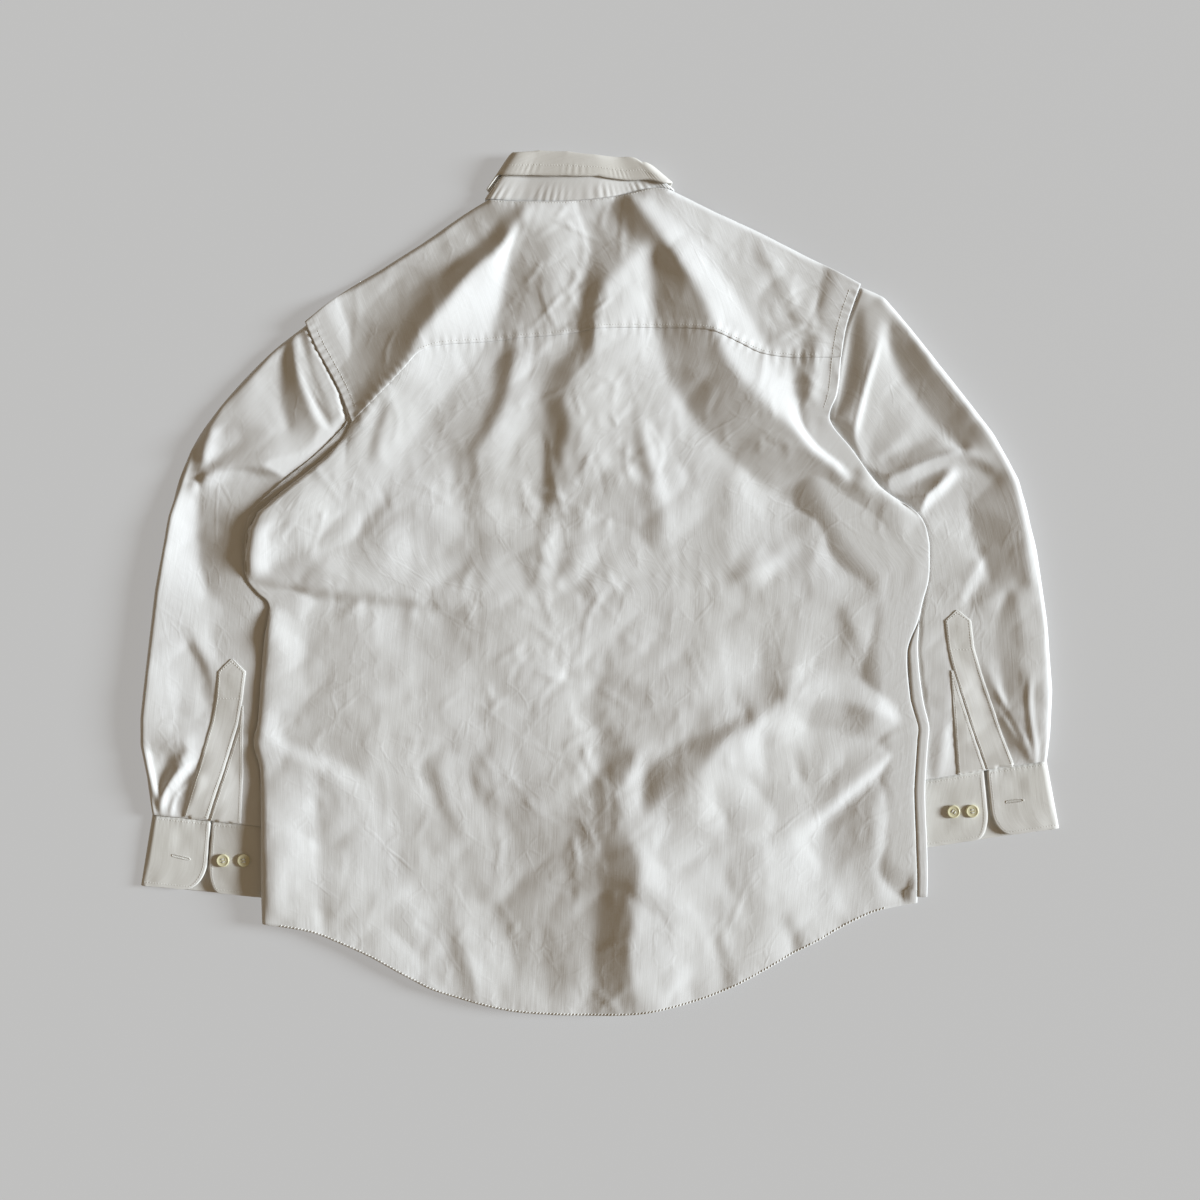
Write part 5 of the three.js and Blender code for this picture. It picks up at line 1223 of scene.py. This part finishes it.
row_of_stitches("yoke_stitches", [dropped(shifted(yoke_seam[3:], 1.6)[:-4], [yoke])])
row_of_stitches("armhole_stitches", [
    dropped(shifted(sides["left"]["armhole"], -8)[3:-4], [yoke, back]),
    dropped(shifted(sides["right"]["armhole"], 8)[3:-4], [yoke, back])])
row_of_stitches("hem_overcast", [dropped(shifted(hem, 1.0)[3:-7], [back])], pitch=3.3, length=3.3,
                width=1.3, height=1.0, tilt=0.65)
row_of_stitches("collar_stitches", [
    fall_grid[-5, 8:-8] + np.array([0, 0, 0.75]),
    dropped(shifted(neck, -1.0)[2:-2], [yoke, stand])])
cuff_lines, hole_lines = [], []
for side, ends in cuff_ends.items():
    seam_outer, seam_inner, hem_outer, hem_inner = (np.array(p) for p in sleeves[side]["cuff"])
    down = np.linspace(0.05, 0.95, 30)
    corner = cuff_corner(down)
    for start, sign, end in ((0.02, -1, ends["overlap"] - ends["overlap_round"] * corner),
                             (0.98, 1, ends["underlap"] + ends["underlap_round"] * corner)):
        end = end + sign * 0.022
        across = np.concatenate([np.linspace(start, end[0], 20), end, np.linspace(end[-1], start, 20)])
        depth = np.concatenate([np.full(20, 0.05), down, np.full(20, 0.95)])[:, None]
        outer = seam_outer + (hem_outer - seam_outer) * depth
        inner = seam_inner + (hem_inner - seam_inner) * depth
        cuff_lines.append(dropped(outer + (inner - outer) * across[:, None], [cuff_pieces[side]]))
for (ax, ay), (bx, by) in (((-412, -262), (-395, -266)), ((391, -211), (408, -209))):
    a = np.linspace(0, 2 * math.pi, 60)
    along_hole, across_hole = 0.5 + 0.5 * np.cos(a), 1.1 * np.sign(np.sin(a)) * np.abs(np.sin(a)) ** 0.4
    size = math.hypot(bx - ax, by - ay)
    x = ax + (bx - ax) * along_hole - (by - ay) / size * across_hole
    y = ay + (by - ay) * along_hole + (bx - ax) / size * across_hole
    hole_lines.append(dropped(np.stack([x, y], 1), list(cuff_pieces.values())))
row_of_stitches("cuff_stitches", cuff_lines)
row_of_stitches("buttonhole_stitches", hole_lines, pitch=0.55, length=1.5, width=0.6, height=0.7, tilt=1.57)
strip_lines = []
for name, strip in strips.items():
    rows = np.array(strip["rows"])
    for column, sign in ((1, 1), (2, -1)):
        line = np.stack([rows[1:, column] + sign * 2.2, rows[1:, 0]], 1)
        tip = np.array([[(rows[0, 1] + rows[0, 2]) / 2, rows[0, 0] - 2.6]])
        line = np.vstack([tip, line])
        share = np.linspace(0, len(line) - 1, 90)
        line = np.stack([np.interp(share, np.arange(len(line)), line[:, k]) for k in (0, 1)], 1)
        strip_lines.append(dropped(line, [strip_pieces[name]]))
    if "placket" in name:
        y = rows[2, 0] - 2
        left, right = (np.interp(-y, -rows[:, 0], rows[:, k]) for k in (1, 2))
        strip_lines.append(dropped(np.stack([np.linspace(left + 2, right - 2, 20), np.full(20, y)], 1),
                                   [strip_pieces[name]]))
row_of_stitches("placket_stitches", strip_lines)


# ----------------------------------------------------------------------------------- floor and lamps
# A plain grey floor and a grey wall beyond it, cool light as from a large window low on the right,
# and weak warm light from all sides.
floor_mesh = bpy.data.meshes.new("floor")
floor_mesh.from_pydata([(-6, -6, 0), (6, -6, 0), (6, 6, 0), (-6, 6, 0)], [], [(0, 1, 2, 3)])
floor = placed("floor", floor_mesh)
paper = bpy.data.materials.new("grey_paper")
paper.use_nodes = True
surface = paper.node_tree.nodes["Principled BSDF"]
for label, value in {"Base Color": (0.25, 0.25, 0.25, 1), "Emission Color": (1, 1, 1, 1),
                     "Emission Strength": 0.355, "Roughness": 0.95, "Specular IOR Level": 0.1}.items():
    surface.inputs[label].default_value = value
floor_mesh.materials.append(paper)

window = bpy.data.lights.new("window", "SUN")
window.energy = 6.1
window.angle = math.radians(16)
window.color = (0.86, 0.935, 1.0)
azimuth, elevation = math.radians(3), math.radians(17)
towards = Vector((math.cos(azimuth) * math.cos(elevation), math.sin(azimuth) * math.cos(elevation),
                  math.sin(elevation)))
placed("window", window).rotation_euler = (-towards).to_track_quat("-Z", "Y").to_euler()

world = bpy.data.worlds.new("room")
bpy.context.scene.world = world
world.use_nodes = True
room = world.node_tree
warm = room.nodes["Background"]
warm.inputs["Color"].default_value = (1.0, 0.76, 0.49, 1)
warm.inputs["Strength"].default_value = 0.2
wall = node(room, "ShaderNodeBackground", {"Color": (0.5, 0.5, 0.5, 1)})
seen = node(room, "ShaderNodeLightPath")
either = node(room, "ShaderNodeMixShader",
              {0: seen.outputs["Is Camera Ray"], 1: warm.outputs[0], 2: wall.outputs[0]})
room.links.new(either.outputs[0], room.nodes["World Output"].inputs["Surface"])
bpy.context.scene.view_settings.view_transform = "Standard"

camera_data = bpy.data.cameras.new("camera")
camera_data.lens = 50
camera_data.sensor_width = 36
camera = placed("camera", camera_data)
camera.location = (0, -0.0163, 1.61)
bpy.context.scene.camera = camera
